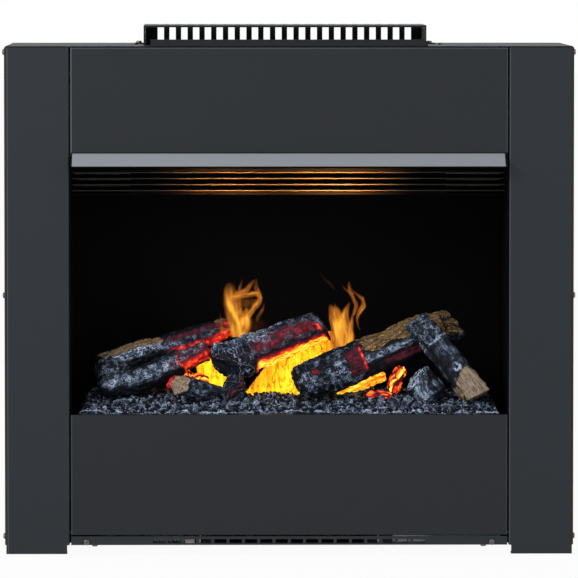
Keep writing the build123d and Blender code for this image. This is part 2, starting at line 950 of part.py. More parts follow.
def mist_sump():
    y0 = sump_y()
    y1 = y0 + sump_depth
    top = sump_floor + sump_height
    sump = block(-sump_half, sump_half, y0, y1, sump_floor, top)
    x = sump_half - sump_wall
    floor = sump_floor + sump_wall
    sump -= block(-x, x, y0 + sump_wall, y1 - sump_wall, floor, top)
    for x in (-sump_half, sump_half - sump_leg):
        for y in (y0, y1 - sump_leg):
            sump += block(x, x + sump_leg, y, y + sump_leg, base_top, sump_floor)
    middle_y = (y0 + y1) / 2
    sump -= rod((0, middle_y, sump_floor), (0, 0, 1), disc_radius / 2, sump_wall)
    fan_z = sump_floor + sump_height / 2
    sump -= rod((0, y1 - sump_wall, fan_z), (0, 1, 0), fan_bore - 2, sump_wall)
    sump += rod((stem_place, middle_y, floor), (0, 0, 1), stem_radius, stem_height)
    low_collar = floor + float_rest - collar_height
    high_collar = floor + float_rest + float_height + float_travel
    for z in (low_collar, high_collar):
        sump += rod((stem_place, middle_y, z), (0, 0, 1), collar_radius, collar_height)
    return sump


def level_float():
    middle_y = sump_y() + sump_depth / 2
    low = sump_floor + sump_wall + float_rest
    ring = rod((stem_place, middle_y, low), (0, 0, 1), float_radius, float_height)
    ring = fillet(ring.edges().filter_by(GeomType.CIRCLE), 1.5)
    return ring - rod((stem_place, middle_y, low), (0, 0, 1), stem_radius + pin_clearance, float_height)


def mist_nozzle():
    top = sump_floor + sump_height
    y0 = sump_y()
    lid = block(-sump_half, sump_half, y0, y0 + sump_depth, top, top + sump_wall)
    chimney = nozzle_block(0)
    nozzle = lid + chimney
    slot_y = y0 + nozzle_back
    x = nozzle_half - sump_wall
    return nozzle - block(-x, x, slot_y + sump_wall, slot_y + nozzle_depth - sump_wall, top, nozzle_top)


def ultrasonic_transducer():
    middle_y = sump_y() + sump_depth / 2
    body = rod((0, middle_y, sump_floor), (0, 0, -1), disc_radius, disc_height)
    body = fillet(body.edges().sort_by(Axis.Z)[0], 2)
    return body + rod((0, middle_y, sump_floor), (0, 0, 1), disc_radius / 2 - 0.2, sump_wall)


def fan_place():
    """The middle of the mist fan's front face."""
    return (0, sump_y() + sump_depth, sump_floor + sump_height / 2)


def mist_fan_housing():
    x, y, z = fan_place()
    reach = fan_size / 2
    housing = block(x - reach, x + reach, y, y + fan_depth, z - reach, z + reach)
    housing = fillet(housing.edges().filter_by(Axis.Y), 4)
    return housing - rod((x, y, z), (0, 1, 0), fan_bore, fan_depth)


def mist_fan_motor():
    x, y, z = fan_place()
    back_y = y + fan_depth
    motor = rod((x, back_y - 3, z), (0, 1, 0), fan_hub - 1, 3)
    for angle in (90, 210, 330):
        arm = Pos((fan_hub + fan_bore) / 2 - 1.5, 0, 0) * Box(fan_bore - fan_hub + 3, 2, 3)
        motor += Pos(x, back_y - 1.5, z) * Rot(0, angle, 0) * Rot(90, 0, 0) * arm
    motor &= rod((x, back_y - 3, z), (0, 1, 0), fan_bore, 3)
    return motor + rod((x, back_y - 3, z), (0, -1, 0), 2, 7)


def mist_fan_rotor():
    x, y, z = fan_place()
    rotor = rod((x, y + 1, z), (0, 1, 0), fan_hub, fan_depth - 4.5)
    tip = fan_bore - fan_tip_gap
    for i in range(fan_blades):
        blade = Pos((fan_hub + tip) / 2 - 1, 0, 0) * Rot(35, 0, 0) * Box(tip - fan_hub + 2, 9, 1)
        turn = Rot(0, 360 * i / fan_blades, 0)
        rotor += Pos(x, y + 1 + (fan_depth - 4.5) / 2, z) * turn * blade
    return rotor - rod((x, y + 4, z), (0, 1, 0), 2 + shaft_clearance, fan_depth)


def neck_place():
    return ((tank_left + tank_right) / 2, bay_y + tank_depth / 2, base_top + tank_height)


def water_tank():
    y0 = bay_y + 2
    y1 = y0 + tank_depth
    top = base_top + tank_height
    tank = block(tank_left, tank_right, y0, y1, base_top, top)
    tank = fillet(tank.edges().filter_by(Axis.Z), 8)
    hollow = block(
        tank_left + tank_wall,
        tank_right - tank_wall,
        y0 + tank_wall,
        y1 - tank_wall,
        base_top + tank_wall,
        top - tank_wall,
    )
    tank -= fillet(hollow.edges().filter_by(Axis.Z), 6)
    x, y, z = neck_place()
    tank += rod((x, y, z), (0, 0, 1), neck_radius, neck_height)
    tank -= rod((x, y, z - tank_wall - 1), (0, 0, 1), neck_radius - neck_wall, neck_height + 5)
    spout_y = sump_y() + 12
    spout_z = base_top + spout_height
    tank += rod((tank_right, spout_y, spout_z), (1, 0, 0), spout_radius, spout_length)
    reach = spout_length + tank_wall
    return tank - rod((tank_right - tank_wall, spout_y, spout_z), (1, 0, 0), spout_radius - 1.5, reach)


def tank_cap():
    x, y, z = neck_place()
    radius = neck_radius + cap_clearance + cap_wall
    low = z + cap_lift
    height = neck_height - cap_lift + cap_wall
    cap = rod((x, y, low), (0, 0, 1), radius, height)
    cap = fillet(cap.edges().sort_by(Axis.Z)[-1], 1)
    bar = Pos(x, y, low + height + 1) * Box(2 * radius - 6, 6, 4)
    cap += bar
    depth = neck_height - cap_lift
    return cap - rod((x, y, low), (0, 0, 1), neck_radius + cap_clearance, depth)


# Controls


def control_panel():
    panel = block(panel_left, panel_right, panel_y, panel_y + sheet, base_top, panel_top)
    panel += block(panel_left, panel_right, panel_y, panel_y + panel_foot, base_top, base_top + sheet)
    width = rocker_half_width + rocker_play + rocker_wall
    height = rocker_half_height + rocker_play + 0.3 + rocker_wall
    panel -= block(
        rocker_place - width,
        rocker_place + width,
        panel_y - 1,
        panel_y + 2 * sheet,
        control_row - height,
        control_row + height,
    )
    for x in button_places:
        panel -= rod((x, panel_y - 1, control_row), (0, 1, 0), button_radius + button_play, 2 * sheet)
    return panel - rod((knob_place, panel_y - 1, knob_row), (0, 1, 0), 4, 2 * sheet)


def rocker_body():
    width = rocker_half_width + rocker_play + rocker_wall
    height = rocker_half_height + rocker_play + 0.3 + rocker_wall
    x = rocker_place
    z = control_row
    body = block(x - width, x + width, panel_y, panel_y + rocker_body_depth, z - height, z + height)
    rim_x = width + rocker_rim
    rim_z = height + rocker_rim
    body += block(x - rim_x, x + rim_x, panel_y - 2, panel_y, z - rim_z, z + rim_z)
    w = width - rocker_wall
    h = height - rocker_wall
    body -= block(x - w, x + w, panel_y - 2, panel_y + rocker_body_depth - 3, z - h, z + h)
    bore = rocker_pivot_radius + pin_clearance
    return body - rod((x - w - 1, panel_y + 3, z), (1, 0, 0), bore, 2 * w + 2)


def mains_rocker():
    r = rocker_half_height
    outline = [(-5.2, 0), (-3.2, r), (3, r - 1), (4, 0), (3, -r + 1), (-3.2, -r)]
    paddle = prism_x(outline, -rocker_half_width, rocker_half_width)
    pivot = rod((-rocker_half_width - 1, 0, 0), (1, 0, 0), rocker_pivot_radius, 2 * rocker_half_width + 2)
    return Pos(rocker_place, panel_y + 3, control_row) * Rot(-rocker_tilt, 0, 0) * (paddle + pivot)


def push_button(x):
    button = rod((x, panel_y - button_stand, control_row), (0, 1, 0), button_radius, button_stand + sheet)
    button = fillet(button.edges().sort_by(Axis.Y)[0], 0.8)
    button += rod((x, panel_y + sheet, control_row), (0, 1, 0), button_collar, 1.5)
    return button + rod((x, panel_y + sheet, control_row), (0, 1, 0), 2, 3.5)


def flame_knob():
    start = panel_y - 1 - knob_length
    knob = rod((knob_place, start, knob_row), (0, 1, 0), knob_radius, knob_length)
    knob = fillet(knob.edges().sort_by(Axis.Y)[0], 1.5)
    for i in range(knob_grips):
        angle = 2 * pi * i / knob_grips
        x = knob_place + (knob_radius + 1) * sin(angle)
        z = knob_row + (knob_radius + 1) * cos(angle)
        knob -= rod((x, start + 3, z), (0, 1, 0), 2, knob_length)
    knob -= Pos(knob_place, start, knob_row + knob_radius / 2) * Box(1.2, 1.2, knob_radius)
    return knob + rod((knob_place, panel_y - 1, knob_row), (0, 1, 0), shaft_radius, 10)


def knob_potentiometer():
    behind = panel_y + sheet
    body = rod((knob_place, behind, knob_row), (0, 1, 0), pot_radius, pot_length)
    body += rod((knob_place, behind, knob_row), (0, -1, 0), 3.9, sheet)
    body += block(knob_place - 6, knob_place + 6, behind + 6, behind + 8, knob_row - 16, knob_row)
    bore = shaft_radius + shaft_clearance
    return body - rod((knob_place, panel_y - 1, knob_row), (0, 1, 0), bore, 12)


def board_corners():
    """The x and z of the board's four fixing points."""
    z0 = control_row - board_height / 2 + standoff_inset
    z1 = control_row + board_height / 2 - standoff_inset
    x0 = button_places[0] - 15 + standoff_inset
    x1 = panel_right - standoff_inset
    return [(x, z) for x in (x0, x1) for z in (z0, z1)]


def control_board():
    y0 = panel_y + sheet + board_setback
    y1 = y0 + board_thickness
    left = button_places[0] - 15
    low = control_row - board_height / 2
    high = control_row + board_height / 2
    board = block(left, panel_right, y0, y1, low, high)
    plunger = panel_y + sheet + 3.5 + button_travel + 0.1
    for x in button_places:
        board += block(x - 3, x + 3, plunger, y0, control_row - 3, control_row + 3)
    for i in range(4):
        x = left + 16 + 20 * i
        board += rod((x, y1, low + 12), (0, 1, 0), 5, 14)
    board += block(left + 12, left + 34, y1, y1 + 3, high - 18, high - 8)
    board += block(left + 50, left + 76, y1, y1 + 16, high - 20, high - 6)
    for x, z in board_corners():
        board -= rod((x, y0 - 1, z), (0, 1, 0), 1.6, board_thickness + 2)
    return board


def board_standoffs():
    posts = []
    for x, z in board_corners():
        post = rod((x, panel_y + sheet, z), (0, 1, 0), standoff_radius, board_setback)
        post += rod((x, panel_y + sheet + board_setback, z), (0, 1, 0), 1.5, board_thickness + 1)
        posts.append(post)
    return Compound(posts)


def transformer():
    x0 = panel_left + 20
    y0 = panel_y + 90
    x1 = x0 + transformer_width
    y1 = y0 + transformer_depth
    core = block(x0, x1, y0, y1, base_top, base_top + transformer_height)
    core = chamfer(core.edges().filter_by(Axis.Y), 2)
    middle_x = x0 + transformer_width / 2
    middle_z = base_top + transformer_height / 2
    for y in (y0 - coil_depth, y1):
        core += block(middle_x - 22, middle_x + 22, y, y + coil_depth, middle_z - 18, middle_z + 18)
    return core


def ir_receiver():
    x0 = plinth_slot_place(receiver_slot) - receiver_width / 2
    y0 = front + receiver_setback
    top = base_top + receiver_height
    case = block(x0, x0 + receiver_width, y0, y0 + receiver_depth, base_top, top)
    return chamfer(case.edges().filter_by(Axis.Y), 0.8)


def cable_gland():
    y = back - gland_back
    length = gland_drop + gland_rise
    body = rod((gland_place, y, case_bottom - gland_drop), (0, 0, 1), gland_radius - 0.1, length)
    collar = rod((gland_place, y, case_bottom), (0, 0, -1), gland_radius + 4, 4)
    hexagon = extrude(RegularPolygon(gland_radius + 4, 6), amount=2.5, both=True)
    nut = Pos(gland_place, y, base_top + 2.5) * hexagon
    bore = rod((gland_place, y, 0), (0, 0, 1), gland_bore, 60)
    return body + collar + nut - bore


# One STEP file for each piece


def all_pieces():
    pieces = {
        "rear_panel": rear_panel(),
        "side_panel_left": side_panel(-1),
        "side_panel_right": side_panel(1),
        "top_plate": top_plate(),
        "base_plate": base_plate(),
        "pilaster_left": pilaster(-1),
        "pilaster_right": pilaster(1),
        "top_fascia": top_fascia(),
        "outlet_lip": outlet_lip(),
        "outlet_louvres": outlet_louvres(),
        "vent_guard": vent_guard(),
        "top_rail": top_rail(),
        "wall_bracket": wall_bracket(),
        "pan_head_screws": pan_head_screws(),
        "door_panel": door_panel(),
        "door_hinge_pins": door_hinge_pins(),
        "catch_magnets": catch_magnets(),
        "firebox_back": firebox_back(),
        "firebox_side_left": firebox_side(-1),
        "firebox_side_right": firebox_side(1),
        "firebox_ceiling": firebox_ceiling(),
        "fuel_bed_tray": fuel_bed_tray(),
        "heater_duct": heater_duct(),
        "heater_element": heater_element(),
        "heater_motor": heater_motor(),
        "heater_rotor": heater_rotor(),
        "lamp_tray": lamp_tray(),
        "lamp_holders": lamp_holders(),
        "lamps": lamps(),
        "mist_sump": mist_sump(),
        "mist_nozzle": mist_nozzle(),
        "ultrasonic_transducer": ultrasonic_transducer(),
        "level_float": level_float(),
        "mist_fan_housing": mist_fan_housing(),
        "mist_fan_motor": mist_fan_motor(),
        "mist_fan_rotor": mist_fan_rotor(),
        "water_tank": water_tank(),
        "tank_cap": tank_cap(),
        "control_board": control_board(),
        "board_standoffs": board_standoffs(),
        "transformer": transformer(),
        "control_panel": control_panel(),
        "rocker_body": rocker_body(),
        "mains_rocker": mains_rocker(),
        "standby_button": push_button(button_places[0]),
        "low_heat_button": push_button(button_places[1]),
        "high_heat_button": push_button(button_places[2]),
        "flame_knob": flame_knob(),
        "knob_potentiometer": knob_potentiometer(),
        "ir_receiver": ir_receiver(),
        "cable_gland": cable_gland(),
    }
    pieces.update(fuel_bed())
    return pieces


os.makedirs("parts", exist_ok=True)
lowered = Location((0, 0, -fixing_height))
for name, piece in all_pieces().items():
    export_step(piece.moved(lowered), f"parts/{name}.step")
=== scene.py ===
import math
import random
import bmesh
import bpy
from mathutils import Euler, Matrix, Vector, noise


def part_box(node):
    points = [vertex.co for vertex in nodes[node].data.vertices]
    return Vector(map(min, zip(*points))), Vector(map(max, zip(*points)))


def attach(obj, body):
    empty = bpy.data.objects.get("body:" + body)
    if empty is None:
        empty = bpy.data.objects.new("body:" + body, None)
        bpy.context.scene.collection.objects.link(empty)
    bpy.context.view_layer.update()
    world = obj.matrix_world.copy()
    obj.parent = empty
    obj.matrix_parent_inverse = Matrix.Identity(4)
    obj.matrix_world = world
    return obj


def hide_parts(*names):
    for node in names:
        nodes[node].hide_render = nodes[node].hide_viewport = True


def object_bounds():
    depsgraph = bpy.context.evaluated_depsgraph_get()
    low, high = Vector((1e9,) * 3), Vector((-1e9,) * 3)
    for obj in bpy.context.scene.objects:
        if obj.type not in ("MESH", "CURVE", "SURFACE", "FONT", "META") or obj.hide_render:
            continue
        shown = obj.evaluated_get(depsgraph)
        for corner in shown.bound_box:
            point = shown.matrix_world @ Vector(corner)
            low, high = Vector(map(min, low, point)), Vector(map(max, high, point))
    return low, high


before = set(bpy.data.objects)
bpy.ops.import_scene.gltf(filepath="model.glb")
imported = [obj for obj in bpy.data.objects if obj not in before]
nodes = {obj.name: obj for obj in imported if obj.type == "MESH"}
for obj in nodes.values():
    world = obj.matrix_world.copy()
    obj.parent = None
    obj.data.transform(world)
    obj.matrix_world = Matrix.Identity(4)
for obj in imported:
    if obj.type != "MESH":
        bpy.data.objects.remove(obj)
cad_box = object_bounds()


# The view. A long lens stands far in front of the casing, a little left of its middle and about
# level with its top, and looks down by three degrees.
lens_length = 379.7
camera_place = (-0.086, -7.610, 0.217)
camera_dip = 3.1205
camera_turn = 0.6724

lens = bpy.data.cameras.new("camera")
lens.lens = lens_length
camera = bpy.data.objects.new("camera", lens)
camera.location = camera_place
camera.rotation_euler = [math.radians(angle) for angle in (90 - camera_dip, 0, -camera_turn)]
bpy.context.scene.collection.objects.link(camera)
bpy.context.scene.camera = camera
bpy.context.scene.view_settings.view_transform = "Standard"


# The studio. An even pale room, with one large soft lamp in front to the upper left and a weaker
# one to the right, over a plain white floor that keeps a faint shadow.
room_light = 0.42
key_place = (-1.5, -2.0, 1.1)
key_size = 1.0
key_watts = 36
fill_place = (1.7, -1.7, 0.5)
fill_size = 0.8
fill_watts = 9
floor_drop = 0.0003
floor_size = 30
floor_white = 0.95
floor_grey = (0.8, 0.8, 0.8)


class Value:
    """A socket that a node gives, on which arithmetic adds Math nodes."""

    def __init__(self, finish, socket):
        self.finish = finish
        self.socket = socket

    def math(self, operation, first, second=0.0):
        return self.finish.node("ShaderNodeMath", {"operation": operation}, {0: first, 1: second})

    def __add__(self, other):
        return self.math("ADD", self, other)

    def __sub__(self, other):
        return self.math("SUBTRACT", self, other)

    def __rsub__(self, other):
        return self.math("SUBTRACT", other, self)

    def __mul__(self, other):
        return self.math("MULTIPLY", self, other)

    def __abs__(self):
        return self.math("ABSOLUTE", self)

    def __or__(self, other):
        return self.math("MAXIMUM", self, other)

    __radd__ = __add__
    __rmul__ = __mul__


class Finish:
    """The nodes of one surface. Every surface of the object is one Principled shader."""

    def __init__(self, name, colour=(0.5, 0.5, 0.5), **constants):
        self.material = bpy.data.materials.new(name)
        self.material.use_nodes = True
        self.tree = self.material.node_tree
        self.shader = self.tree.nodes["Principled BSDF"]
        self.plug(self.shader.inputs["Base Color"], colour)
        for socket, value in constants.items():
            self.plug(self.shader.inputs[socket.replace("_", " ")], value)

    def plug(self, socket, value):
        if isinstance(value, Value):
            self.tree.links.new(value.socket, socket)
        elif socket.type == "RGBA" and len(value) == 3:
            socket.default_value = (*value, 1)
        else:
            socket.default_value = value

    def node(self, kind, settings, inputs, output=0):
        made = self.tree.nodes.new(kind)
        for name, value in settings.items():
            if name == "stops":
                self.set_stops(made.color_ramp, value)
            else:
                setattr(made, name, value)
        for key, value in inputs.items():
            self.plug(made.inputs[key], value)
        return Value(self, made.outputs[output])

    def set_stops(self, ramp, stops):
        while len(ramp.elements) < len(stops):
            ramp.elements.new(0.5)
        for element, (place, colour) in zip(ramp.elements, stops):
            element.position = place
            element.color = (*colour, 1)

    def place(self):
        return self.node("ShaderNodeTexCoord", {}, {}, "Object")

    def share(self, value, low, high):
        """How far a value has come from low to high, with soft ends."""
        settings = {"interpolation_type": "SMOOTHSTEP"}
        return self.node("ShaderNodeMapRange", settings, {0: value, 1: low, 2: high})

    def mix(self, factor, first, second):
        return self.node("ShaderNodeMix", {"data_type": "RGBA"}, {0: factor, 6: first, 7: second}, 2)

    def grain(self, scale, detail=2.0, rough=0.5, across=None):
        """Cloudy noise from 0 to 1. Across is where it is read, and the object's own place if none."""
        inputs = {"Vector": across or self.place(), "Scale": scale, "Detail": detail, "Roughness": rough}
        return self.node("ShaderNodeTexNoise", {}, inputs)

    def axis(self, letter):
        """The object's own place along one axis."""
        return self.node("ShaderNodeSeparateXYZ", {}, {0: self.place()}, letter)

    def scaled(self, across, scale):
        """A place whose axes are each scaled, so that a grain read there is drawn out."""
        return self.node("ShaderNodeMapping", {}, {"Vector": across, "Scale": scale})

    def line(self, value, half, soft_half):
        """1 on the thin line where a grain passes its middle, and 0 off it."""
        return 1 - self.share(abs(value - 0.5), half, soft_half)

    def mask(self, name, output="Fac"):
        """What a piece's mesh says of its own surface under that name."""
        return self.node("ShaderNodeAttribute", {"attribute_name": name}, {}, output)

    def facing(self, letter):
        """1 where a face looks back along an axis: the front for Y, and an underside for Z."""
        outward = self.node("ShaderNodeTexCoord", {}, {}, "Normal")
        along = self.node("ShaderNodeSeparateXYZ", {}, {0: outward}, letter)
        square_on = -0.8
        slanted = -0.5
        return 1 - self.share(along, square_on, slanted)

    def show(self, socket, value):
        self.plug(self.shader.inputs[socket], value)

    def emboss(self, height, strength, distance):
        """Relief from a height between 0 and 1, which is distance deep."""
        inputs = {"Height": height, "Strength": strength, "Distance": distance}
        self.show("Normal", self.node("ShaderNodeBump", {}, inputs))


class Backdrop(Finish):
    """White where the camera, a gloss or a pane looks at it, and a plain grey or floor elsewhere."""

    def __init__(self, owner, end):
        owner.use_nodes = True
        self.tree = owner.node_tree
        self.tree.nodes.clear()
        self.end = self.tree.nodes.new(end)

    def seen(self):
        kinds = ("Is Camera Ray", "Is Glossy Ray", "Is Transmission Ray")
        camera_ray, glossy_ray, clear_ray = (self.node("ShaderNodeLightPath", {}, {}, kind) for kind in kinds)
        return camera_ray | glossy_ray | clear_ray

    def finish(self, factor, plain, white):
        mixed = self.node("ShaderNodeMixShader", {}, {0: factor, 1: plain, 2: white})
        self.plug(self.end.inputs["Surface"], mixed)


world = bpy.data.worlds.new("room")
bpy.context.scene.world = world
room = Backdrop(world, "ShaderNodeOutputWorld")
plain_room = room.node("ShaderNodeBackground", {}, {"Color": (1, 1, 1), "Strength": room_light})
white_room = room.node("ShaderNodeBackground", {}, {"Color": (1, 1, 1), "Strength": 1})
room.finish(room.seen(), plain_room, white_room)


def soft_lamp(name, place, size, watts, colour=(1, 1, 1), target=(0, -0.3, -0.2)):
    lamp = bpy.data.lights.new(name, "AREA")
    lamp.size = size
    lamp.energy = watts
    lamp.color = colour
    placed = bpy.data.objects.new(name, lamp)
    placed.location = place
    placed.rotation_euler = (Vector(place) - Vector(target)).to_track_quat("Z", "Y").to_euler()
    placed.visible_camera = False
    bpy.context.scene.collection.objects.link(placed)
    return placed


soft_lamp("key_lamp", key_place, key_size, key_watts)
soft_lamp("fill_lamp", fill_place, fill_size, fill_watts)


def finished_mesh(name, mesh_work):
    """A new object at the origin from a finished bmesh."""
    mesh = bpy.data.meshes.new(name)
    mesh_work.to_mesh(mesh)
    mesh_work.free()
    mesh.polygons.foreach_set("use_smooth", [True] * len(mesh.polygons))
    made = bpy.data.objects.new(name, mesh)
    bpy.context.scene.collection.objects.link(made)
    return made


floor_place = Matrix.Translation((0, 0, cad_box[0].z - floor_drop))
floor_work = bmesh.new()
bmesh.ops.create_grid(floor_work, x_segments=1, y_segments=1, size=floor_size, matrix=floor_place)
floor = finished_mesh("floor", floor_work)
floor_paint = bpy.data.materials.new("floor_paint")
floor.data.materials.append(floor_paint)
ground = Backdrop(floor_paint, "ShaderNodeOutputMaterial")
plain_floor = ground.node("ShaderNodeBsdfDiffuse", {}, {"Color": floor_grey})
white_floor = ground.node("ShaderNodeEmission", {}, {"Color": (1, 1, 1), "Strength": 1})
ground.finish(ground.seen() * floor_white, plain_floor, white_floor)


# The folded casing: front panels, sides, top, base, door, guard and rail. Sheet steel of 1.5 mm,
# bent at small radii and powder coated in a finely textured satin anthracite.
# The pale lines along the front bends are painted highlights.
coat_colour = (0.0114, 0.0148, 0.0190)
coat_fleck = (0.0195, 0.0240, 0.0295)
painted_bend_highlight = (0.120, 0.135, 0.165)
# The near-black line along each pilaster's outer seam is a painted shadow.
painted_seam_shadow = (0.0015, 0.0016, 0.0019)
coat_grain = 1100
coat_cloud = 26
painted_highlight_width = 0.0007
painted_shadow_width = 0.0009
painted_line_depth = 0.0016


def dress(finish, *names):
    """Puts a finish on nodes of the frame in place of the plain one."""
    for name in names:
        mesh = nodes[name].data
        mesh.materials.clear()
        mesh.materials.append(finish.material)


def powder_coat(name, painted_shade=1.0, gloss=0.27, painted_highlight_lines=(), painted_shadow_lines=()):
    """The coat, darkened by a painted shade factor, with painted highlights along bends and painted shadows
    along seams: each line is an axis, a place along it and a strength.
    """
    finish = Finish(name, Specular_IOR_Level=gloss)
    grain = finish.grain(coat_grain, 3, 0.6)
    cloud = finish.grain(coat_cloud, 3, 0.55)
    dark, pale = ([painted_shade * part for part in colour] for colour in (coat_colour, coat_fleck))
    coat = finish.mix(finish.share(grain, 0.35, 0.75), dark, pale)
    in_front = 1 - finish.share(finish.axis("Y"), front_plane + painted_line_depth / 2, front_plane + painted_line_depth)
    for lines, width, colour in ((painted_highlight_lines, painted_highlight_width, painted_bend_highlight), (painted_shadow_lines, painted_shadow_width, painted_seam_shadow)):
        for axis, where, strength in lines:
            on_line = 1 - finish.share(abs(finish.axis(axis) - where), width / 2, 1.3 * width)
            coat = finish.mix(on_line * in_front * strength, coat, colour)
    finish.show("Base Color", coat)
    finish.show("Roughness", 0.34 + 0.08 * cloud + 0.08 * grain)
    finish.emboss(grain, 0.35, 0.0002)
    return finish


front_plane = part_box("pilaster_left")[0].y
dress(powder_coat("coat_plain"), "side_panel_left", "side_panel_right", "base_plate")
# The guard, the rail and the top plate are darker copies of the coat: painted shade.
dress(powder_coat("coat_guard", 0.55, 0.2), "vent_guard", "top_rail")
dress(powder_coat("coat_top", 0.5, 0.04), "top_plate")
# The fascia and the door are darker copies of the coat too, as painted shade, with painted highlights along
# their bends.
for name, painted_shade, left_painted_highlight, right_painted_highlight, top_painted_highlight in (
    ("top_fascia", 0.74, 0.85, 0.30, 0.55), ("door_panel", 0.64, 0.35, 0.25, 0.0),
):
    low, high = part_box(name)
    painted_highlight_lines = [("X", low.x + painted_highlight_width, left_painted_highlight), ("X", high.x - painted_highlight_width, right_painted_highlight)]
    painted_highlight_lines.append(("Z", high.z - painted_highlight_width, top_painted_highlight))
    dress(powder_coat("coat_" + name, painted_shade, 0.27, painted_highlight_lines), name)
# Each pilaster carries a painted highlight along one bend.
for name, outward, outer_painted_highlight, inner_painted_highlight in (
    ("pilaster_left", -1, 0.50, 0.0), ("pilaster_right", 1, 0.0, 0.40),
):
    low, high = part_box(name)
    outer, inner = (low.x, high.x) if outward < 0 else (high.x, low.x)
    painted_highlight_lines = [
        ("X", outer - outward * 3 * painted_highlight_width, outer_painted_highlight),
        ("X", inner + outward * painted_highlight_width, inner_painted_highlight),
    ]
    # A painted shadow along the pilaster's outer seam.
    painted_shadow_lines = [("X", outer - outward * painted_shadow_width, 1.0)]
    dress(powder_coat("coat_" + name, 1.0, 0.27, painted_highlight_lines, painted_shadow_lines), name)


# The heat deflector under the fascia. A folded steel lip in smooth pale blue-grey satin paint, with painted
# shade making it near black underneath. Its rear flange is fixed against the fascia's lower edge.
deflector_dark = (0.312, 0.335, 0.368)
deflector_pale = (0.334, 0.357, 0.392)
deflector_painted_shade = (0.0015, 0.0015, 0.0016)


def deflector_paint():
    finish = Finish("deflector_paint", Specular_IOR_Level=0.4)
    grain = finish.grain(700, 2)
    cloud = finish.grain(9, 2)
    paint = finish.mix(cloud, deflector_dark, deflector_pale)
    # The downward faces are near black: painted shade.
    finish.show("Base Color", finish.mix(finish.facing("Z"), paint, deflector_painted_shade))
    finish.show("Roughness", 0.36 + 0.07 * grain)
    finish.emboss(grain, 0.12, 0.0001)
    return finish


dress(deflector_paint(), "outlet_lip")


# The firebox and outlet. Sheet steel in matt heat-resistant black, folded and fixed inside the
# casing, with thin louvre slats across the outlet that the flames light from below.
wall_black = (0.0018, 0.0018, 0.0021)
wall_dust = (0.0028, 0.0027, 0.0028)
wall_gloss = 0.05
ceiling_black = (0.002, 0.002, 0.0022)
ceiling_dust = (0.003, 0.003, 0.003)
slat_black = (0.0015, 0.0015, 0.0016)
slat_painted_highlight = (0.062, 0.060, 0.052)


def matt_black(name, colour, dust):
    finish = Finish(name, Specular_IOR_Level=wall_gloss)
    grain = finish.grain(500, 3, 0.6)
    cloud = finish.grain(11, 4, 0.6)
    finish.show("Base Color", finish.mix(finish.share(cloud, 0.45, 0.8), colour, dust))
    finish.show("Roughness", 0.66 + 0.14 * grain)
    finish.emboss(grain, 0.2, 0.0002)
    return finish


dress(
    matt_black("firebox_black", wall_black, wall_dust), "firebox_back", "firebox_side_left",
    "firebox_side_right", "fuel_bed_tray",
)
dress(matt_black("ceiling_black", ceiling_black, ceiling_dust), "firebox_ceiling")


def slat_paint():
    """Black, with a dull grey painted highlight on the slats' narrow front faces."""
    finish = Finish("louvre_black", Specular_IOR_Level=0.08)
    finish.show("Base Color", finish.mix(finish.facing("Y"), slat_black, slat_painted_highlight))
    finish.show("Roughness", 0.66 + 0.14 * finish.grain(500, 3, 0.6))
    return finish


dress(slat_paint(), "outlet_louvres")


# The rear panel, the wall bracket, the heater's duct, the lamp tray and the control panel.
# Galvanised sheet steel with its crystal spangle, bare except for the front of the duct, which is sprayed
# black as far back as can be seen between the slats; deep in the duct this black is painted shade.
zinc_dark = (0.46, 0.48, 0.50)
zinc_pale = (0.55, 0.57, 0.59)
spangle_scale = 150
mouth_paint_and_shade_reach = 0.110


def galvanised(name, painted=None):
    """Bare zinc, or black in front of a plane across the depth if one is given."""
    finish = Finish(name, Specular_IOR_Level=0.4 if painted is None else 0.05)
    wander = finish.grain(35, 2, 0.5)
    inputs = {"Vector": finish.place(), "Scale": spangle_scale}
    crystal = finish.node("ShaderNodeTexVoronoi", {}, inputs, "Color")
    tone = 0.75 * crystal + 0.35 * (wander - 0.5)
    base = finish.mix(finish.share(tone, 0.12, 0.62), zinc_dark, zinc_pale)
    metal = 1.0
    rough = 0.34 + 0.22 * tone + 0.08 * finish.grain(900, 2)
    if painted is not None:
        bare = finish.share(finish.axis("Y"), painted - 0.001, painted)
        base = finish.mix(bare, wall_black, base)
        rough = rough + 0.3 * (1 - bare)
        metal = bare
    finish.show("Base Color", base)
    finish.show("Metallic", metal)
    finish.show("Roughness", rough)
    finish.emboss(tone, 0.15, 0.0002)
    return finish


dress(galvanised("galvanised_steel"), "rear_panel", "wall_bracket", "lamp_tray", "control_panel")
dress(galvanised("painted_mouth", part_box("heater_duct")[0].y + mouth_paint_and_shade_reach), "heater_duct")


# Screws, hinge pins, the heater's motor and rotor, the mist plate and the knob's metal body. Steel,
# nickel-plated or turned, and pressed aluminium, all bare; the hinge pins are blackened dark enough to stand
# as painted shade in the door's gap.
nickel_dark = (0.075, 0.070, 0.060)
nickel_pale = (0.19, 0.18, 0.155)
blackened_pin_shade_dark = (0.020, 0.020, 0.021)
blackened_pin_shade_pale = (0.045, 0.045, 0.047)
can_dark = (0.20, 0.205, 0.21)
can_pale = (0.40, 0.41, 0.42)
aluminium_dark = (0.52, 0.53, 0.54)
aluminium_pale = (0.78, 0.79, 0.80)
lathe_draw = (0.2, 1, 1)
rolling_draw = (0.15, 1, 1)


def bare_metal(name, dark, pale, rough, scale, stretch=(1, 1, 1)):
    finish = Finish(name, Metallic=1)
    turned = finish.grain(scale, 3, 0.6, finish.scaled(finish.place(), stretch))
    stain = finish.grain(60, 4, 0.6)
    finish.show("Base Color", finish.mix(finish.share(stain, 0.3, 0.75), pale, dark))
    finish.show("Roughness", rough + 0.16 * turned + 0.1 * stain)
    finish.emboss(turned, 0.2, 0.0001)
    return finish


dress(bare_metal("nickel_plate", nickel_dark, nickel_pale, 0.24, 1500), "pan_head_screws")
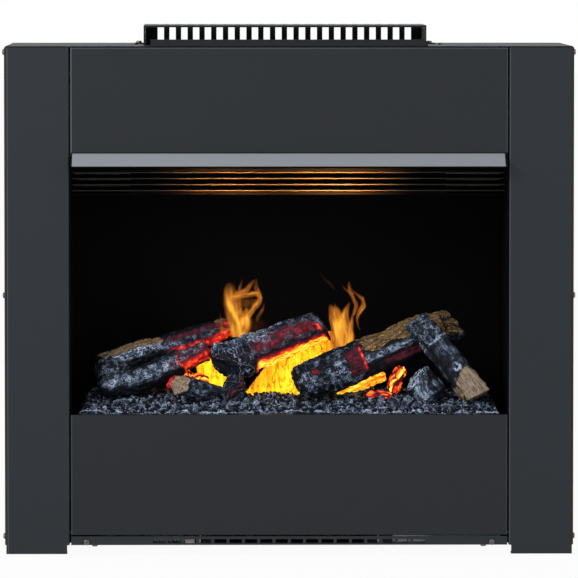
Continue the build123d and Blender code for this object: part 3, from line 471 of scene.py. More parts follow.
# The hinge pins are near black: partly blackened steel, partly painted shade in the gap beside the door.
dress(bare_metal("turned_steel", blackened_pin_shade_dark, blackened_pin_shade_pale, 0.40, 900, lathe_draw), "door_hinge_pins")
dress(
    bare_metal("motor_can", can_dark, can_pale, 0.32, 700, lathe_draw), "heater_motor",
    "knob_potentiometer", "ultrasonic_transducer",
)
dress(bare_metal("rolled_aluminium", aluminium_dark, aluminium_pale, 0.26, 800, rolling_draw), "heater_rotor")


# The door's catch magnets. Ferrite blocks, pressed from powder and sintered, which leaves them dark
# grey, dull and finely pitted. They hang under the front of the fuel bed's tray.
ferrite_dark = (0.012, 0.012, 0.013)
ferrite_pale = (0.045, 0.045, 0.048)


def sintered():
    finish = Finish("ferrite", Specular_IOR_Level=0.5)
    pits = finish.grain(1600, 3, 0.7)
    finish.show("Base Color", finish.mix(finish.share(pits, 0.3, 0.8), ferrite_dark, ferrite_pale))
    finish.show("Roughness", 0.45 + 0.3 * pits)
    finish.emboss(pits, 0.4, 0.0002)
    return finish


dress(sintered(), "catch_magnets")


# The heater's element and the lamp holders. Steatite ceramic, fired and unglazed, with the scorch
# marks that heat leaves.
steatite_dark = (0.60, 0.57, 0.50)
steatite_pale = (0.74, 0.71, 0.64)
steatite_scorch = (0.22, 0.16, 0.11)


def fired_ceramic():
    finish = Finish("steatite", Specular_IOR_Level=0.35)
    speck = finish.grain(1300, 3, 0.65)
    scorch = finish.grain(45, 3, 0.5)
    base = finish.mix(finish.share(speck, 0.35, 0.75), steatite_dark, steatite_pale)
    finish.show("Base Color", finish.mix(0.6 * finish.share(scorch, 0.5, 0.85), base, steatite_scorch))
    finish.show("Roughness", 0.52 + 0.25 * speck)
    finish.emboss(speck, 0.3, 0.0002)
    return finish


dress(fired_ceramic(), "heater_element", "lamp_holders")


# The lamps under the bed. Small capsules blown from amber glass, a little uneven in the wall, and
# lit, each in its ceramic holder.
glass_deep = (0.95, 0.52, 0.12)
glass_thin = (0.98, 0.66, 0.25)
glow_deep = (0.85, 0.32, 0.04)
glow_thin = (1.0, 0.55, 0.14)


def lit_glass():
    finish = Finish("amber_glass", Specular_IOR_Level=0.6, Emission_Strength=1.0)
    wander = finish.grain(160, 2)
    finish.show("Base Color", finish.mix(wander, glass_deep, glass_thin))
    finish.show("Emission Color", finish.mix(wander, glow_deep, glow_thin))
    finish.show("Roughness", 0.08 + 0.08 * wander)
    return finish


dress(lit_glass(), "lamps")


# Moulded parts of the mist maker, the switches and the cable gland: black ABS and nylon, white
# polypropylene and white keys, each with a fine spark-eroded texture.
black_plastic = (0.012, 0.012, 0.013)
black_fleck = (0.019, 0.019, 0.020)
white_plastic = (0.66, 0.66, 0.64)
white_fleck = (0.74, 0.74, 0.72)


def moulded(name, colour, fleck, rough):
    finish = Finish(name, Specular_IOR_Level=0.45)
    eroded = finish.grain(1900, 3, 0.6)
    flow = finish.grain(28, 3, 0.5)
    finish.show("Base Color", finish.mix(finish.share(flow + 0.5 * (eroded - 0.5), 0.3, 0.8), colour, fleck))
    finish.show("Roughness", rough + 0.14 * eroded + 0.06 * flow)
    finish.emboss(eroded, 0.3, 0.00012)
    return finish


dress(
    moulded("black_plastic", black_plastic, black_fleck, 0.36), "mist_sump", "mist_nozzle",
    "mist_fan_housing", "mist_fan_motor", "mist_fan_rotor", "tank_cap", "rocker_body", "cable_gland",
)
dress(
    moulded("white_plastic", white_plastic, white_fleck, 0.32), "level_float", "board_standoffs",
    "standby_button", "low_heat_button", "high_heat_button",
)


# The mains rocker. Translucent red polycarbonate, moulded in a polished tool and snapped into its
# black body.
rocker_dark = (0.42, 0.012, 0.010)
rocker_bright = (0.58, 0.024, 0.016)


def red_rocker():
    finish = Finish("red_polycarbonate", Specular_IOR_Level=0.55, Coat_Weight=0.6, Coat_Roughness=0.06)
    flow = finish.grain(120, 2)
    finish.show("Base Color", finish.mix(flow, rocker_dark, rocker_bright))
    finish.show("Roughness", 0.18 + 0.08 * flow)
    finish.emboss(flow, 0.05, 0.0002)
    return finish


dress(red_rocker(), "mains_rocker")


# The flame knob. Black moulded plastic, pushed on its shaft, with a white pointer line printed on its
# face from near the middle up to the rim.
knob_low, knob_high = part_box("flame_knob")
knob_middle = (knob_low + knob_high) / 2
knob_black = (0.014, 0.014, 0.015)
pointer_white = (0.7, 0.7, 0.68)
pointer_half = 0.0007
pointer_start = 0.0035
face_depth = 0.001


def pointer_knob():
    finish = moulded("knob_plastic", black_plastic, black_fleck, 0.30)
    across = abs(finish.axis("X") - knob_middle.x)
    on_line = 1 - finish.share(across, pointer_half, pointer_half * 1.3)
    above = finish.share(finish.axis("Z"), knob_middle.z + pointer_start * 0.9, knob_middle.z + pointer_start)
    on_face = 1 - finish.share(finish.axis("Y"), knob_low.y + face_depth, knob_low.y + face_depth * 1.3)
    finish.show("Base Color", finish.mix(on_line * above * on_face, knob_black, pointer_white))
    return finish


dress(pointer_knob(), "flame_knob")


# The water tank. Clear plastic, blow-moulded in one piece, so that it is lightly frosted and wavy,
# with a faint blue cast. It stands on the base plate, behind the door.
tank_blue = (0.80, 0.88, 0.93)
tank_clear = (0.88, 0.94, 0.97)


def tank_plastic():
    finish = Finish("tank_plastic", Transmission_Weight=0.88, IOR=1.46, Specular_IOR_Level=0.5)
    flow = finish.grain(22, 3, 0.5)
    frost = finish.grain(1200, 2)
    finish.show("Base Color", finish.mix(flow, tank_blue, tank_clear))
    finish.show("Roughness", 0.10 + 0.10 * flow + 0.05 * frost)
    finish.emboss(flow, 0.2, 0.001)
    return finish


dress(tank_plastic(), "water_tank")


# The control board and the transformer. The board is green solder mask over copper tracks, and what
# is soldered to it is one solid with it and shares its green. The transformer's winding is varnished.
track_pitch = 0.0031
board_green = (0.010, 0.075, 0.028)
track_green = (0.020, 0.150, 0.055)
lacquer_brown = (0.045, 0.030, 0.018)
core_grey = (0.16, 0.13, 0.10)


def solder_mask():
    finish = Finish("solder_mask", Specular_IOR_Level=0.55)
    turned = finish.share(finish.grain(75, 0), 0.48, 0.52)
    along = finish.axis("X") + 0.35 * finish.axis("Y") * turned
    lane = finish.node("ShaderNodeMath", {"operation": "PINGPONG"}, {0: along, 1: track_pitch / 2})
    track = finish.share(lane, track_pitch * 0.16, track_pitch * 0.2)
    finish.show("Base Color", finish.mix(track, board_green, track_green))
    finish.show("Roughness", 0.24 + 0.1 * track)
    finish.emboss(track, 0.4, 0.0001)
    return finish


dress(solder_mask(), "control_board")


def varnished_winding():
    finish = Finish("varnished_core", Specular_IOR_Level=0.5)
    sheets = finish.grain(2400, 2, 0.5, finish.scaled(finish.place(), (0.08, 0.08, 1.6)))
    finish.show("Base Color", finish.mix(finish.share(sheets, 0.35, 0.65), lacquer_brown, core_grey))
    finish.show("Metallic", 0.6 * finish.share(sheets, 0.4, 0.7))
    finish.show("Roughness", 0.34 + 0.2 * sheets)
    finish.emboss(sheets, 0.35, 0.0002)
    return finish


dress(varnished_winding(), "transformer")


# The remote-control receiver. A milky window moulded in plastic that lets infra-red through. It
# stands on the base plate, behind the plate's front flange.
window_milk = (0.60, 0.585, 0.56)
window_shade = (0.50, 0.485, 0.46)


def milky_window():
    finish = Finish("milky_window", Roughness=0.35, Specular_IOR_Level=0.4)
    cloud = finish.grain(240, 2)
    finish.show("Base Color", finish.mix(cloud, window_shade, window_milk))
    finish.emboss(finish.grain(1500, 2), 0.1, 0.0001)
    return finish


dress(milky_window(), "ir_receiver")


# The fuel bed's logs. Hollow resin mouldings painted as charred wood, thin and unpainted where
# lamplight glows through from below, and laid loose on the bed and on one another.
# Noise that gives a direction is drawn anew each run unless it is seeded, so it is seeded here once
# for all that follows.
noise_seed = 4
noise.seed_set(noise_seed)
bed_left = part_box("ember_bed")[0].x
bed_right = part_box("ember_bed")[1].x
tray_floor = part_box("fuel_bed_tray")[0].z
char_black = (0.0034, 0.0041, 0.0064)
char_grey = (0.012, 0.015, 0.024)
ash_haze = (0.040, 0.053, 0.088)
ash_blue = (0.225, 0.32, 0.53)
ash_white = (0.64, 0.77, 0.98)
bark_brown = (0.045, 0.027, 0.013)
bark_tan = (0.26, 0.165, 0.088)
bark_gold = (0.95, 0.60, 0.16)
sawn_shade = (0.130, 0.084, 0.052)
sawn_pale = (0.40, 0.31, 0.235)
painted_glow_tint = (0.040, 0.013, 0.021)
glow_strength = 1.15
cell_grain = 72
cell_sway = (0.010, 0.010, 0.010)
cell_sway_grain = 170
vertex_step = 0.0013
masks = ("ash", "bark", "glow", "strand", "cell")


def soft(value, low, high):
    """How far a value has come from low to high, from 0 to 1 with soft ends."""
    share = min(1, max(0, (value - low) / (high - low)))
    return share * share * (3 - 2 * share)


def bump(value, middle, reach):
    """1 at the middle, falling softly to 0 at that reach either side of it."""
    return 1 - soft(abs(value - middle), 0, reach)


def on_curve(values, share):
    """The value at a share of the way through a list, on a soft curve through its members."""
    reach = min(0.999999, max(0, share)) * (len(values) - 1)
    i = int(reach)
    f = reach - i
    before, start, end, after = (values[min(max(k, 0), len(values) - 1)] for k in range(i - 1, i + 3))
    bend = f * (end - before) + f * f * (2 * before - 5 * start + 4 * end - after)
    return 0.5 * (2 * start + bend + f * f * f * (3 * start - before - 3 * end + after))


def laid(start, *points):
    """Points over the bed, counted from a place across it, the front plane and the tray's floor."""
    corner = Vector((start, front_plane, tray_floor))
    return [corner + Vector(point) for point in points]


class Log:
    """One log as it is modelled: a closed tube along a bent line, with rough skin and ends."""

    def __init__(self, name, points, radii, seed, **skin):
        self.name = name
        self.points = points
        self.radii = radii
        self.seed = Vector((seed, seed * 0.7, seed * 0.3))
        self.skin = {
            "swell": 0.13, "ridge": 0.0011, "crack": 0.0017, "cell": 0.010, "stretch": 1.6, "cap": 0.004,
            "corner": 2.0, "turned": 0.0, "flatten": 1.0, "first_slant": (0, 0), "last_slant": (0, 0),
            "carve": None, "wobble": 0.0012,
        }
        self.skin.update(skin)

    def station(self, share):
        """The middle, upward, frontward and onward directions at a share of the length."""
        ahead = on_curve(self.points, min(1, share + 0.02))
        behind = on_curve(self.points, max(0, share - 0.02))
        onward = (ahead - behind).normalized()
        upward = (Vector((0, 0, 1)) - onward * onward.z).normalized()
        return on_curve(self.points, share), upward, onward.cross(upward), onward

    def relief(self, place, radius):
        """How high the skin stands at a place on the straight log, how cracked and how raised it is."""
        skin = self.skin
        swell = noise.noise(place / 0.034) * skin["swell"] * radius
        ridge = noise.fractal(Vector((place.x, place.y, place.z * 0.16)) / 0.0035, 0.7, 2.1, 4)
        wander = Vector((ridge, -ridge, ridge)) * 0.1
        cell_place = Vector((place.x, place.y, place.z / skin["stretch"])) / skin["cell"] + wander
        distances, centres = noise.voronoi(cell_place)
        crack = 1 - soft(distances[1] - distances[0], 0.02, 0.26)
        tone = noise.cell(centres[0] * 7.3)
        pits = noise.fractal(place / 0.0022, 0.8, 2.0, 3)
        height = swell + skin["ridge"] * ridge - skin["crack"] * crack
        return height + 0.0008 * (tone - 0.5) + 0.00035 * pits, crack, 0.5 + 0.35 * ridge + 0.2 * pits

    def section(self, turn):
        """The radius of a squared section, as a share of a round one's."""
        n = self.skin["corner"]
        turn -= self.skin["turned"]
        return (abs(math.cos(turn)) ** n + abs(math.sin(turn)) ** n) ** (-1 / n)

    def model(self, work, paint):
        """Adds the log to a bmesh. Paint gives the first masks at a place, and the rest stay 0."""
        skin = self.skin
        layers = [work.verts.layers.float[key] for key in masks]
        straight = work.verts.layers.float_vector["straight"]
        length = sum((b - a).length for a, b in zip(self.points, self.points[1:]))
        first_cap = on_curve(self.radii, 0)
        last_cap = on_curve(self.radii, 1)
        surface = first_cap + length + last_cap
        rings = int(surface / vertex_step)
        sides = int(2 * math.pi * max(self.radii) / vertex_step)
        stations = {}
        for vert in bmesh.ops.create_uvsphere(work, u_segments=sides, v_segments=rings, radius=1)["verts"]:
            travelled = (math.asin(max(-1, min(1, vert.co.z))) / math.pi + 0.5) * surface
            turn = math.atan2(vert.co.y, vert.co.x)
            share = min(length, max(0, travelled - first_cap)) / length
            out = min(1, travelled / first_cap, (surface - travelled) / last_cap)
            end = 1 if travelled > surface / 2 else -1
            ring = round(travelled / surface * rings)
            if ring not in stations:
                stations[ring] = self.station(share)
            middle, upward, frontward, onward = stations[ring]
            plain = on_curve(self.radii, share) * self.section(turn)
            across = Vector((math.cos(turn), math.sin(turn), 0)) * plain * out
            place = across + Vector((0, 0, share * length)) + self.seed
            height, crack, raised = self.relief(place, plain)
            if skin["carve"]:
                height += skin["carve"](share, turn, raised)
            radius = (plain + height) * out
            rough = noise.fractal(place / 0.006, 0.7, 2.1, 3)
            inset = end * skin["cap"] * (1 - out ** 4) * (0.75 + 0.5 * rough)
            near_first = 1 - soft(share, 0, 0.3)
            near_last = soft(share, 0.7, 1)
            slants = ((near_first, skin["first_slant"]), (near_last, skin["last_slant"]))
            for nearness, (rise, reach) in slants:
                inset += nearness * radius * (rise * math.cos(turn) + reach * math.sin(turn))
            direction = upward * math.cos(turn) + frontward * math.sin(turn) * skin["flatten"]
            vert.co = middle + direction * radius + onward * inset
            vert[straight] = place + noise.noise_vector(place / 0.0065) * skin["wobble"]
            for layer, value in zip(layers, paint(share, turn, crack, raised, out)):
                vert[layer] = value


def new_log_work():
    """An empty bmesh with a log's masks and its places on the straight log."""
    work = bmesh.new()
    for key in masks:
        work.verts.layers.float.new(key)
    work.verts.layers.float_vector.new("straight")
    return work


def charred_resin():
    """Paint for all that is burnt, by each piece's own masks, on a log that is thought straight."""
    finish = Finish("charred_resin", Specular_IOR_Level=0.10, Emission_Strength=glow_strength)
    ash, bark, glow, strand, cell = (finish.mask(key) for key in masks)
    straight = finish.mask("straight", "Vector")
    fine = finish.grain(1300, 2, 0.6, straight)
    medium = finish.grain(430, 3, 0.6, straight)
    patches = finish.grain(75, 3, 0.55, straight)
    clusters = finish.share(finish.grain(105, 3, 0.6, straight), 0.42, 0.56)
    fibre = finish.grain(1, 3, 0.6, finish.scaled(straight, (520, 520, 60)))
    inputs = {"Vector": straight, "Scale": cell_sway_grain, "Detail": 2}
    sway = finish.node("ShaderNodeTexNoise", {}, inputs, "Color")
    inputs = {0: sway, 1: cell_sway, 2: straight}
    swayed = finish.node("ShaderNodeVectorMath", {"operation": "MULTIPLY_ADD"}, inputs)
    inputs = {"Vector": swayed, "Scale": cell_grain}
    edge = finish.node("ShaderNodeTexVoronoi", {"feature": "DISTANCE_TO_EDGE"}, inputs, "Distance")
    cell_line = cell * (1 - finish.share(edge, 0.005, 0.040)) * finish.share(patches, 0.35, 0.5)
    crust = finish.share(ash + (patches - 0.5) * 0.9, 0.15, 0.6)
    curl = finish.line(finish.grain(135, 3, 0.55, straight), 0.010, 0.050)
    small_curl = finish.line(finish.grain(250, 2, 0.5, straight), 0.008, 0.055)
    strands = finish.line(fibre, 0.010, 0.075)
    drawn = (curl | small_curl) * (1 - strand) + strands * strand
    line = ((crust * drawn * (0.15 + 0.85 * clusters)) | cell_line) * finish.share(medium, 0.28, 0.48)
    base = finish.mix(finish.share(medium, 0.4, 0.75), char_black, char_grey)
    dusty = finish.share(medium + 0.4 * fibre * strand + 0.25 * clusters, 0.40, 0.95)
    base = finish.mix(0.75 * (crust * (1 - 0.8 * cell) * dusty), base, ash_haze)
    base = finish.mix(line * 0.95, base, ash_blue)
    base = finish.mix(line * finish.share(fine + 0.35 * ash, 0.45, 0.72), base, ash_white)
    grained = fibre + (fine - 0.5) * 0.5
    wood = finish.mix(finish.share(grained, 0.34, 0.66), bark_brown, bark_tan)
    wood = finish.mix(finish.share(medium + 0.7 * (fine - 0.5), 0.62, 0.72), wood, bark_gold)
    base = finish.mix(finish.share(bark + (medium - 0.5) * 0.7, 0.35, 0.6), base, wood)
    sawn = finish.mix(finish.share(grained, 0.36, 0.62), sawn_shade, sawn_pale)
    base = finish.mix(finish.share(bark, 1.1, 2.0), base, sawn)
    hot = finish.share(glow, 0.5, 0.72)
    blotch = finish.grain(150, 3, 0.55, straight)
    uneven = 1 + (blotch - 0.5) * 2.2 * (1 - hot) + (fibre - 0.5) * 1.5 * hot
    warmth = glow * uneven - 0.2 * line * (1 - hot)
    # Where the glow falls, the base colour turns a dim purple-red: painted glow light.
    base = finish.mix(finish.share(warmth, 0.04, 0.3) * (1 - 0.8 * line), base, painted_glow_tint)
    finish.show("Base Color", base)
    stops = [
        (0.0, (0, 0, 0)),
        (0.14, (0, 0, 0)),
        (0.27, (0.040, 0.002, 0.004)),
        (0.40, (0.20, 0.004, 0.006)),
        (0.52, (0.60, 0.014, 0.007)),
        (0.64, (1.0, 0.10, 0.006)),
        (0.77, (1.0, 0.36, 0.008)),
        (0.90, (1.0, 0.70, 0.02)),
        (1.0, (1.0, 0.90, 0.14)),
    ]
    finish.show("Emission Color", finish.node("ShaderNodeValToRGB", {"stops": stops}, {"Fac": warmth}))
    finish.show("Roughness", 0.42 + 0.35 * fine)
    finish.emboss(0.5 * medium + 0.3 * fine + 0.4 * line, 0.6, 0.0006)
    return finish


burnt = charred_resin()


def place_burnt(name, work, node=None):
    """Lays a burnt piece on the bed, in the place of its node if it has one."""
    made = finished_mesh(name, work)
    made.data.materials.append(burnt.material)
    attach(made, "casing")
    if node:
        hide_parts(node)


def place_log(log, paint, node):
    """Models a log and lays it on the bed in the place of its node."""
    work = new_log_work()
    log.model(work, paint)
    place_burnt(log.name, work, node)


def plateau(value, middle, reach, edge=0.12):
    """1 within that reach of the middle, falling to 0 over the edge."""
    return 1 - soft(abs(value - middle), reach - edge / 2, reach + edge / 2)


# Where around the upper log its sawn flat lies, and the radius it is cut from.
flat_turn = 0.20
flat_radius = 0.0168


def carve_upper_left(share, turn, raised):
    """A sawn flat along the top of the left half."""
    off = abs(turn - flat_turn)
    flat = flat_radius * (0.74 / max(0.3, math.cos(off)) - 1) if off < 0.76 else 0
    return min(0, flat) * (1 - soft(share, 0.42, 0.52))


def paint_upper_left(share, turn, crack, raised, out):
    face = bump(turn, 1.2, 1.5)
    left = 1 - soft(share, 0.38, 0.52)
    flat = plateau(turn, flat_turn, 0.66) * plateau(share, 0.25, 0.225, 0.03) * soft(out, 0.9, 1)
    crown = 0.9 * soft(share, 0.86, 0.93) * bump(turn, 0.3, 0.9)
    ash = left * (0.42 + 0.5 * raised) * (0.2 + 0.8 * bump(turn, 1.1, 0.75)) + 0.30 * (1 - left) * face
    warm = soft(share, 0.40, 0.56) * (0.85 + 0.25 * raised)
    glow = warm * (0.27 * bump(turn, 0.85, 0.6) + 0.47 * plateau(turn, 2.05, 0.50, 0.3))
    glow += 0.30 * soft(share, 0.84, 0.97) * bump(turn, 1.3, 0.8)
    return ash * (0.55 + 0.45 * out), max(1.5 * flat, crown), glow * (1 - flat), 0.1


place_log(
    Log(
        "charred_log_upper_left",
        laid(
            bed_left, (0.0270, 0.071, 0.071), (0.0635, 0.088, 0.083), (0.1035, 0.103, 0.092),
            (0.1415, 0.117, 0.102), (0.1785, 0.130, 0.115),
        ),
        [0.0170, 0.0182, 0.0172, 0.0165, 0.0140], 3.1, carve=carve_upper_left, cell=0.009,
    ),
    paint_upper_left, "log_upper_left",
)


def torn_rim(turn, raised):
    """How far along the lower log its bark reaches, round its torn edge."""
    return 0.76 + 0.015 * math.sin(3 * turn + 1) + 0.015 * raised


def carve_lower_left(share, turn, raised):
    """The bark ends in a torn rim, and the bare wood goes on inside it."""
    rim = torn_rim(turn, raised)
    return -0.0020 * soft(share, rim, rim + 0.015) + 0.0012 * bump(share, rim - 0.01, 0.02)


def paint_lower_left(share, turn, crack, raised, out):
    face = bump(turn, 1.3, 1.5)
    rim = torn_rim(turn, raised)
    left = 1 - soft(share, rim - 0.02, rim + 0.01)
    ash = left * (0.30 + 0.45 * raised) * (0.2 + 0.8 * bump(turn, 1.2, 1.1))
    ash += (1 - left) * 0.42 * (1 - soft(turn, 1.2, 1.8))
    lit = (0.22 + 0.26 * soft(turn, 1.0, 1.7)) * (0.85 + 0.25 * raised)
    glow = (1 - left) * lit * (1 - soft(turn, 2.4, 2.8))
    glow += 0.36 * bump(share, rim, 0.012) * face
    glow += left * 0.20 * soft(share, 0.5, 0.7) * bump(turn, 1.4, 1.0)
    return ash * (0.6 + 0.4 * out), 0, glow, 0.3


def paint_left_end(share, turn, crack, raised, out):
    return 0.05 + 0.42 * raised, 0, 0, 0, 0.25


place_log(
    Log(
        "charred_log_lower_left",
        laid(
            bed_left, (0.0290, 0.056, 0.0485), (0.0635, 0.065, 0.0545), (0.1035, 0.080, 0.0680),
            (0.1530, 0.096, 0.0890),
        ),
        [0.0155, 0.0164, 0.0165, 0.0150], 11.7, crack=0.0009, cell=0.012, carve=carve_lower_left,
    ),
    paint_lower_left, "log_lower_left",
)
left_end = new_log_work()
Log(
    "left_end", laid(bed_left, (0.0275, 0.069, 0.0615), (0.0390, 0.072, 0.0630), (0.0560, 0.077, 0.0680)),
    [0.0225, 0.0240, 0.0130], 91.3, cap=0.0065, cell=0.009,
).model(left_end, paint_left_end)
place_burnt("charred_left_end", left_end)


def carve_middle(share, turn, raised):
    """A burnt hollow under the left end, and a neck behind the lobe."""
    hollow = bump(share, 0.04, 0.18) * bump(turn, 2.25, 0.8)
    neck = bump(share, 0.44, 0.10) * bump(turn, 1.9, 1.0)
    return -0.0095 * hollow - 0.0030 * neck


def paint_middle(share, turn, crack, raised, out):
    lobe = 1 - soft(share, 0.36, 0.44)
    hollow = bump(share, 0.05, 0.20) * bump(turn, 2.25, 0.9)
    top = bump(turn, 0.15, 0.95) * (1 - soft(share, 0.5, 0.7))
    cell = 0.75 * lobe * soft(turn, 0.55, 0.85) * (1 - soft(hollow, 0.1, 0.4))
    body = soft(share, 0.36, 0.46) * (1 - soft(share, 0.95, 1.0))
    ash = 0.46 * top + 0.30 * (1 - lobe) * (1 - soft(turn, 1.6, 1.9)) + 0.14 * lobe
    glow = lobe * 0.26 * raised * bump(turn, 1.4, 1.0) * (1 - soft(hollow, 0.1, 0.4))
    glow += body * 0.34 * bump(turn, 1.1, 1.0) * min(1.1, 0.45 + 0.9 * raised)
    glow += body * 0.88 * soft(turn, 1.62, 2.3) * (1 - soft(turn, 2.95, 3.1))
    glow += 0.35 * bump(share, 0.955, 0.035) * bump(turn, 1.35, 0.4)
    return ash * (1 - hollow), 0, glow, 0.25 * (1 - lobe), cell


place_log(
    Log(
        "charred_log_middle",
        laid(
            0, (-0.0895, 0.058, 0.0835), (-0.0640, 0.064, 0.0805), (-0.0380, 0.074, 0.0895),
            (0.0000, 0.094, 0.1045), (0.0405, 0.112, 0.1165),
        ),
        [0.0165, 0.0242, 0.0235, 0.0220, 0.0195], 23.9, cell=0.0125, stretch=1.2, carve=carve_middle,
        first_slant=(-0.30, 0), last_slant=(-0.35, -0.2), ridge=0.0009, wobble=0.0030,
    ),
    paint_middle, "log_middle",
)


def carve_long_right(share, turn, raised):
    """A knot hole in the left end and a window burnt through the face."""
    hole = bump(share, 0.125, 0.06) * bump(turn, 1.05, 0.35)
    gouge = bump(share, 0.06, 0.10) * bump(turn, 0.55, 0.55)
    window = plateau(share, 0.39, 0.05, 0.02) * bump(turn, 1.35, 0.95)
    ledge = soft(share, 0.46, 0.5) * bump(turn, 1.85, 0.35)
    return -0.0045 * hole - 0.0055 * gouge - 0.0025 * window - 0.0030 * ledge


def paint_long_right(share, turn, crack, raised, out):
    face = bump(turn, 1.3, 1.5)
    left = 1 - soft(share, 0.38, 0.46)
    edge = 1.12 + 0.10 * math.sin(share * 40)
    bark = (1 - soft(turn, edge - 0.12, edge + 0.08)) * soft(turn, -1.6, -1.0) * soft(share, 0.40, 0.5)
    bark = max(bark, 0.85 * soft(share, 0.86, 0.93) * (1 - soft(turn, 1.9, 2.3)))
    window = plateau(share, 0.385, 0.048, 0.015) * plateau(turn, 1.35, 0.75, 0.2)
    hole = bump(share, 0.125, 0.05) * bump(turn, 1.05, 0.3)
    gouge = bump(share, 0.06, 0.10) * bump(turn, 0.55, 0.5)
    scales = plateau(share, 0.70, 0.18, 0.06) * bump(turn, 2.0, 0.45)
    ash = left * (0.12 + 0.42 * raised) * (0.3 + 0.7 * face) + (1 - left) * 0.50 * bump(turn, 1.45, 0.45)
    ash = (ash - 1.2 * gouge - hole) * (1 - 0.75 * window) * (1 - 0.6 * scales)
    glow = window * (0.17 + 0.14 * raised + 0.33 * soft(share, 0.412, 0.428)) + 0.25 * scales
    glow += 0.50 * hole
    return ash, bark * (1 - window), glow, 0.35 * (1 - left), 0.35 * left * (1 - window)


def paint_prong(share, turn, crack, raised, out):
    return 0.45 * raised, 0.22 + 0.40 * (1 - soft(turn, 0.8, 1.8)), 0, 0.8


place_log(
    Log(
        "charred_log_long_right",
        laid(
            0, (0.0145, 0.044, 0.0540), (0.0480, 0.056, 0.0640), (0.1010, 0.077, 0.0840),
            (0.1560, 0.097, 0.1050), (0.1840, 0.105, 0.1150),
        ),
        [0.0215, 0.0248, 0.0245, 0.0240, 0.0200], 37.3, cell=0.0085, ridge=0.0015, carve=carve_long_right,
        first_slant=(-0.12, 0.1),
    ),
    paint_long_right, "log_long_right",
)
prong_radii = (0.0110, 0.0102, 0.0078)
prongs = new_log_work()
for points in (
    ((0.1700, 0.107, 0.1205), (0.1840, 0.111, 0.1260), (0.1950, 0.114, 0.1265)),
    ((0.1740, 0.102, 0.1120), (0.1910, 0.107, 0.1170), (0.2045, 0.110, 0.1175)),
    ((0.1720, 0.095, 0.1005), (0.1940, 0.100, 0.1075), (0.2110, 0.103, 0.1075)),
):
    prong = Log("prong", laid(0, *points), prong_radii, 40.3, ridge=0.0016, cell=0.007)
    prong.model(prongs, paint_prong)
place_burnt("charred_prongs", prongs)


def carve_leaning(share, turn, raised):
    """A split that runs along the left face, cross checks above and a cut where the bare wood starts."""
    split = plateau(share, 0.55, 0.37, 0.05) * bump(turn, 2.05, 0.16)
    cut = bump(share, 0.70, 0.012)
    checks = bump((share * 11) % 1, 0.5, 0.16) * (1 - soft(share, 0.30, 0.36))
    return -0.0055 * split - 0.0012 * cut - 0.0018 * checks


def paint_leaning(share, turn, crack, raised, out):
    upper = 1 - soft(share, 0.31, 0.35)
    foot = soft(share + 0.05 * math.sin(turn * 2), 0.71, 0.73)
    split = bump(turn, 2.05, 0.2) * soft(share, 0.16, 0.22)
    knot_ring = bump(math.hypot((share - 0.62) / 0.045, (turn - 1.15) / 0.30), 0.75, 0.45)
    ash = upper * (0.12 + 0.4 * raised) + (1 - upper) * 0.24 + 0.9 * knot_ring
    ash += 0.4 * bump(share, 0.33, 0.015)
    bark = 2 * foot * (1 - split)
    return ash - 1.5 * split, bark, 0, 0.7 * soft(share, 0.33, 0.4) * (1 - knot_ring), 0.4 * upper


place_log(
    Log(
        "charred_log_leaning",
        laid(
            bed_right, (-0.1005, 0.070, 0.1260), (-0.0765, 0.063, 0.1000), (-0.0480, 0.054, 0.0640),
            (-0.0265, 0.046, 0.0360),
        ),
        [0.0150, 0.0158, 0.0166, 0.0178], 51.1, stretch=0.7, cell=0.013, corner=5, turned=1.2,
        flatten=0.85, swell=0.04, crack=0.0009, cap=0.002, carve=carve_leaning, first_slant=(0.1, 0),
        last_slant=(0.2, 0), wobble=0.0004,
    ),
    paint_leaning, "log_leaning",
)


def paint_chunk_left(share, turn, crack, raised, out):
    sawn = 1 - soft(share, 0.0, 0.03)
    return (0.16 + 0.3 * raised) * (1 - sawn), sawn * (1.40 + 0.7 * raised), 0, 0.9


place_log(
    Log(
        "charred_chunk_left",
        laid(0, (-0.1310, 0.028, 0.0525), (-0.1110, 0.044, 0.0450), (-0.0830, 0.062, 0.0370)),
        [0.0128, 0.0130, 0.0110], 63.7, ridge=0.0013, crack=0.0006, swell=0.08, cap=0.0008,
        first_slant=(0.2, 0.35), wobble=0.0004,
    ),
    paint_chunk_left, "log_chunk_left",
)


def paint_chunk_right(share, turn, crack, raised, out):
    # The ash is heavier on the side the light falls on: partly ash, partly a painted highlight.
    lit = bump(turn, 1.9, 0.95)
    top = 1 - soft(share, 0.02, 0.12)
    return (0.30 + 0.40 * lit + 0.4 * top) * (0.6 + 0.5 * raised), 0, 0, 0.95 * (1 - top)


place_log(
    Log(
        "charred_chunk_right",
        laid(bed_right, (-0.0975, 0.052, 0.0590), (-0.0890, 0.052, 0.0480), (-0.0790, 0.048, 0.0350)),
        [0.0165, 0.0180, 0.0180], 77.9, ridge=0.0016, crack=0.0006, corner=3.2, turned=0.5, cap=0.003,
        first_slant=(-0.15, 0.2), swell=0.12, wobble=0.0004,
    ),
    paint_chunk_right, "log_chunk_right",
)


# The fuel bed itself. One resin moulding that fills the tray, painted as crushed char and ash,
# with shards and loose granules glued over it and a slot round the mist nozzle.
bed_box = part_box("ember_bed")
bed_half = bed_right
bed_side_slope = 0.013
bed_slope = 0.070
bed_edge = 0.0175
bed_rise = 0.017
bed_webs = 0.7
bed_fineness = 1.35
large_pebble = 0.0105
small_pebble = 0.0048
rim_place = 0.0045
nozzle_half = 0.0305
nozzle_middle = front_plane + 0.107
nozzle_reach = 0.0105
granule_count = 900
granule_inset = 0.006
granule_start = 0.005
granule_reach = 0.11
least_granule = 0.0011
most_granule = 0.0032


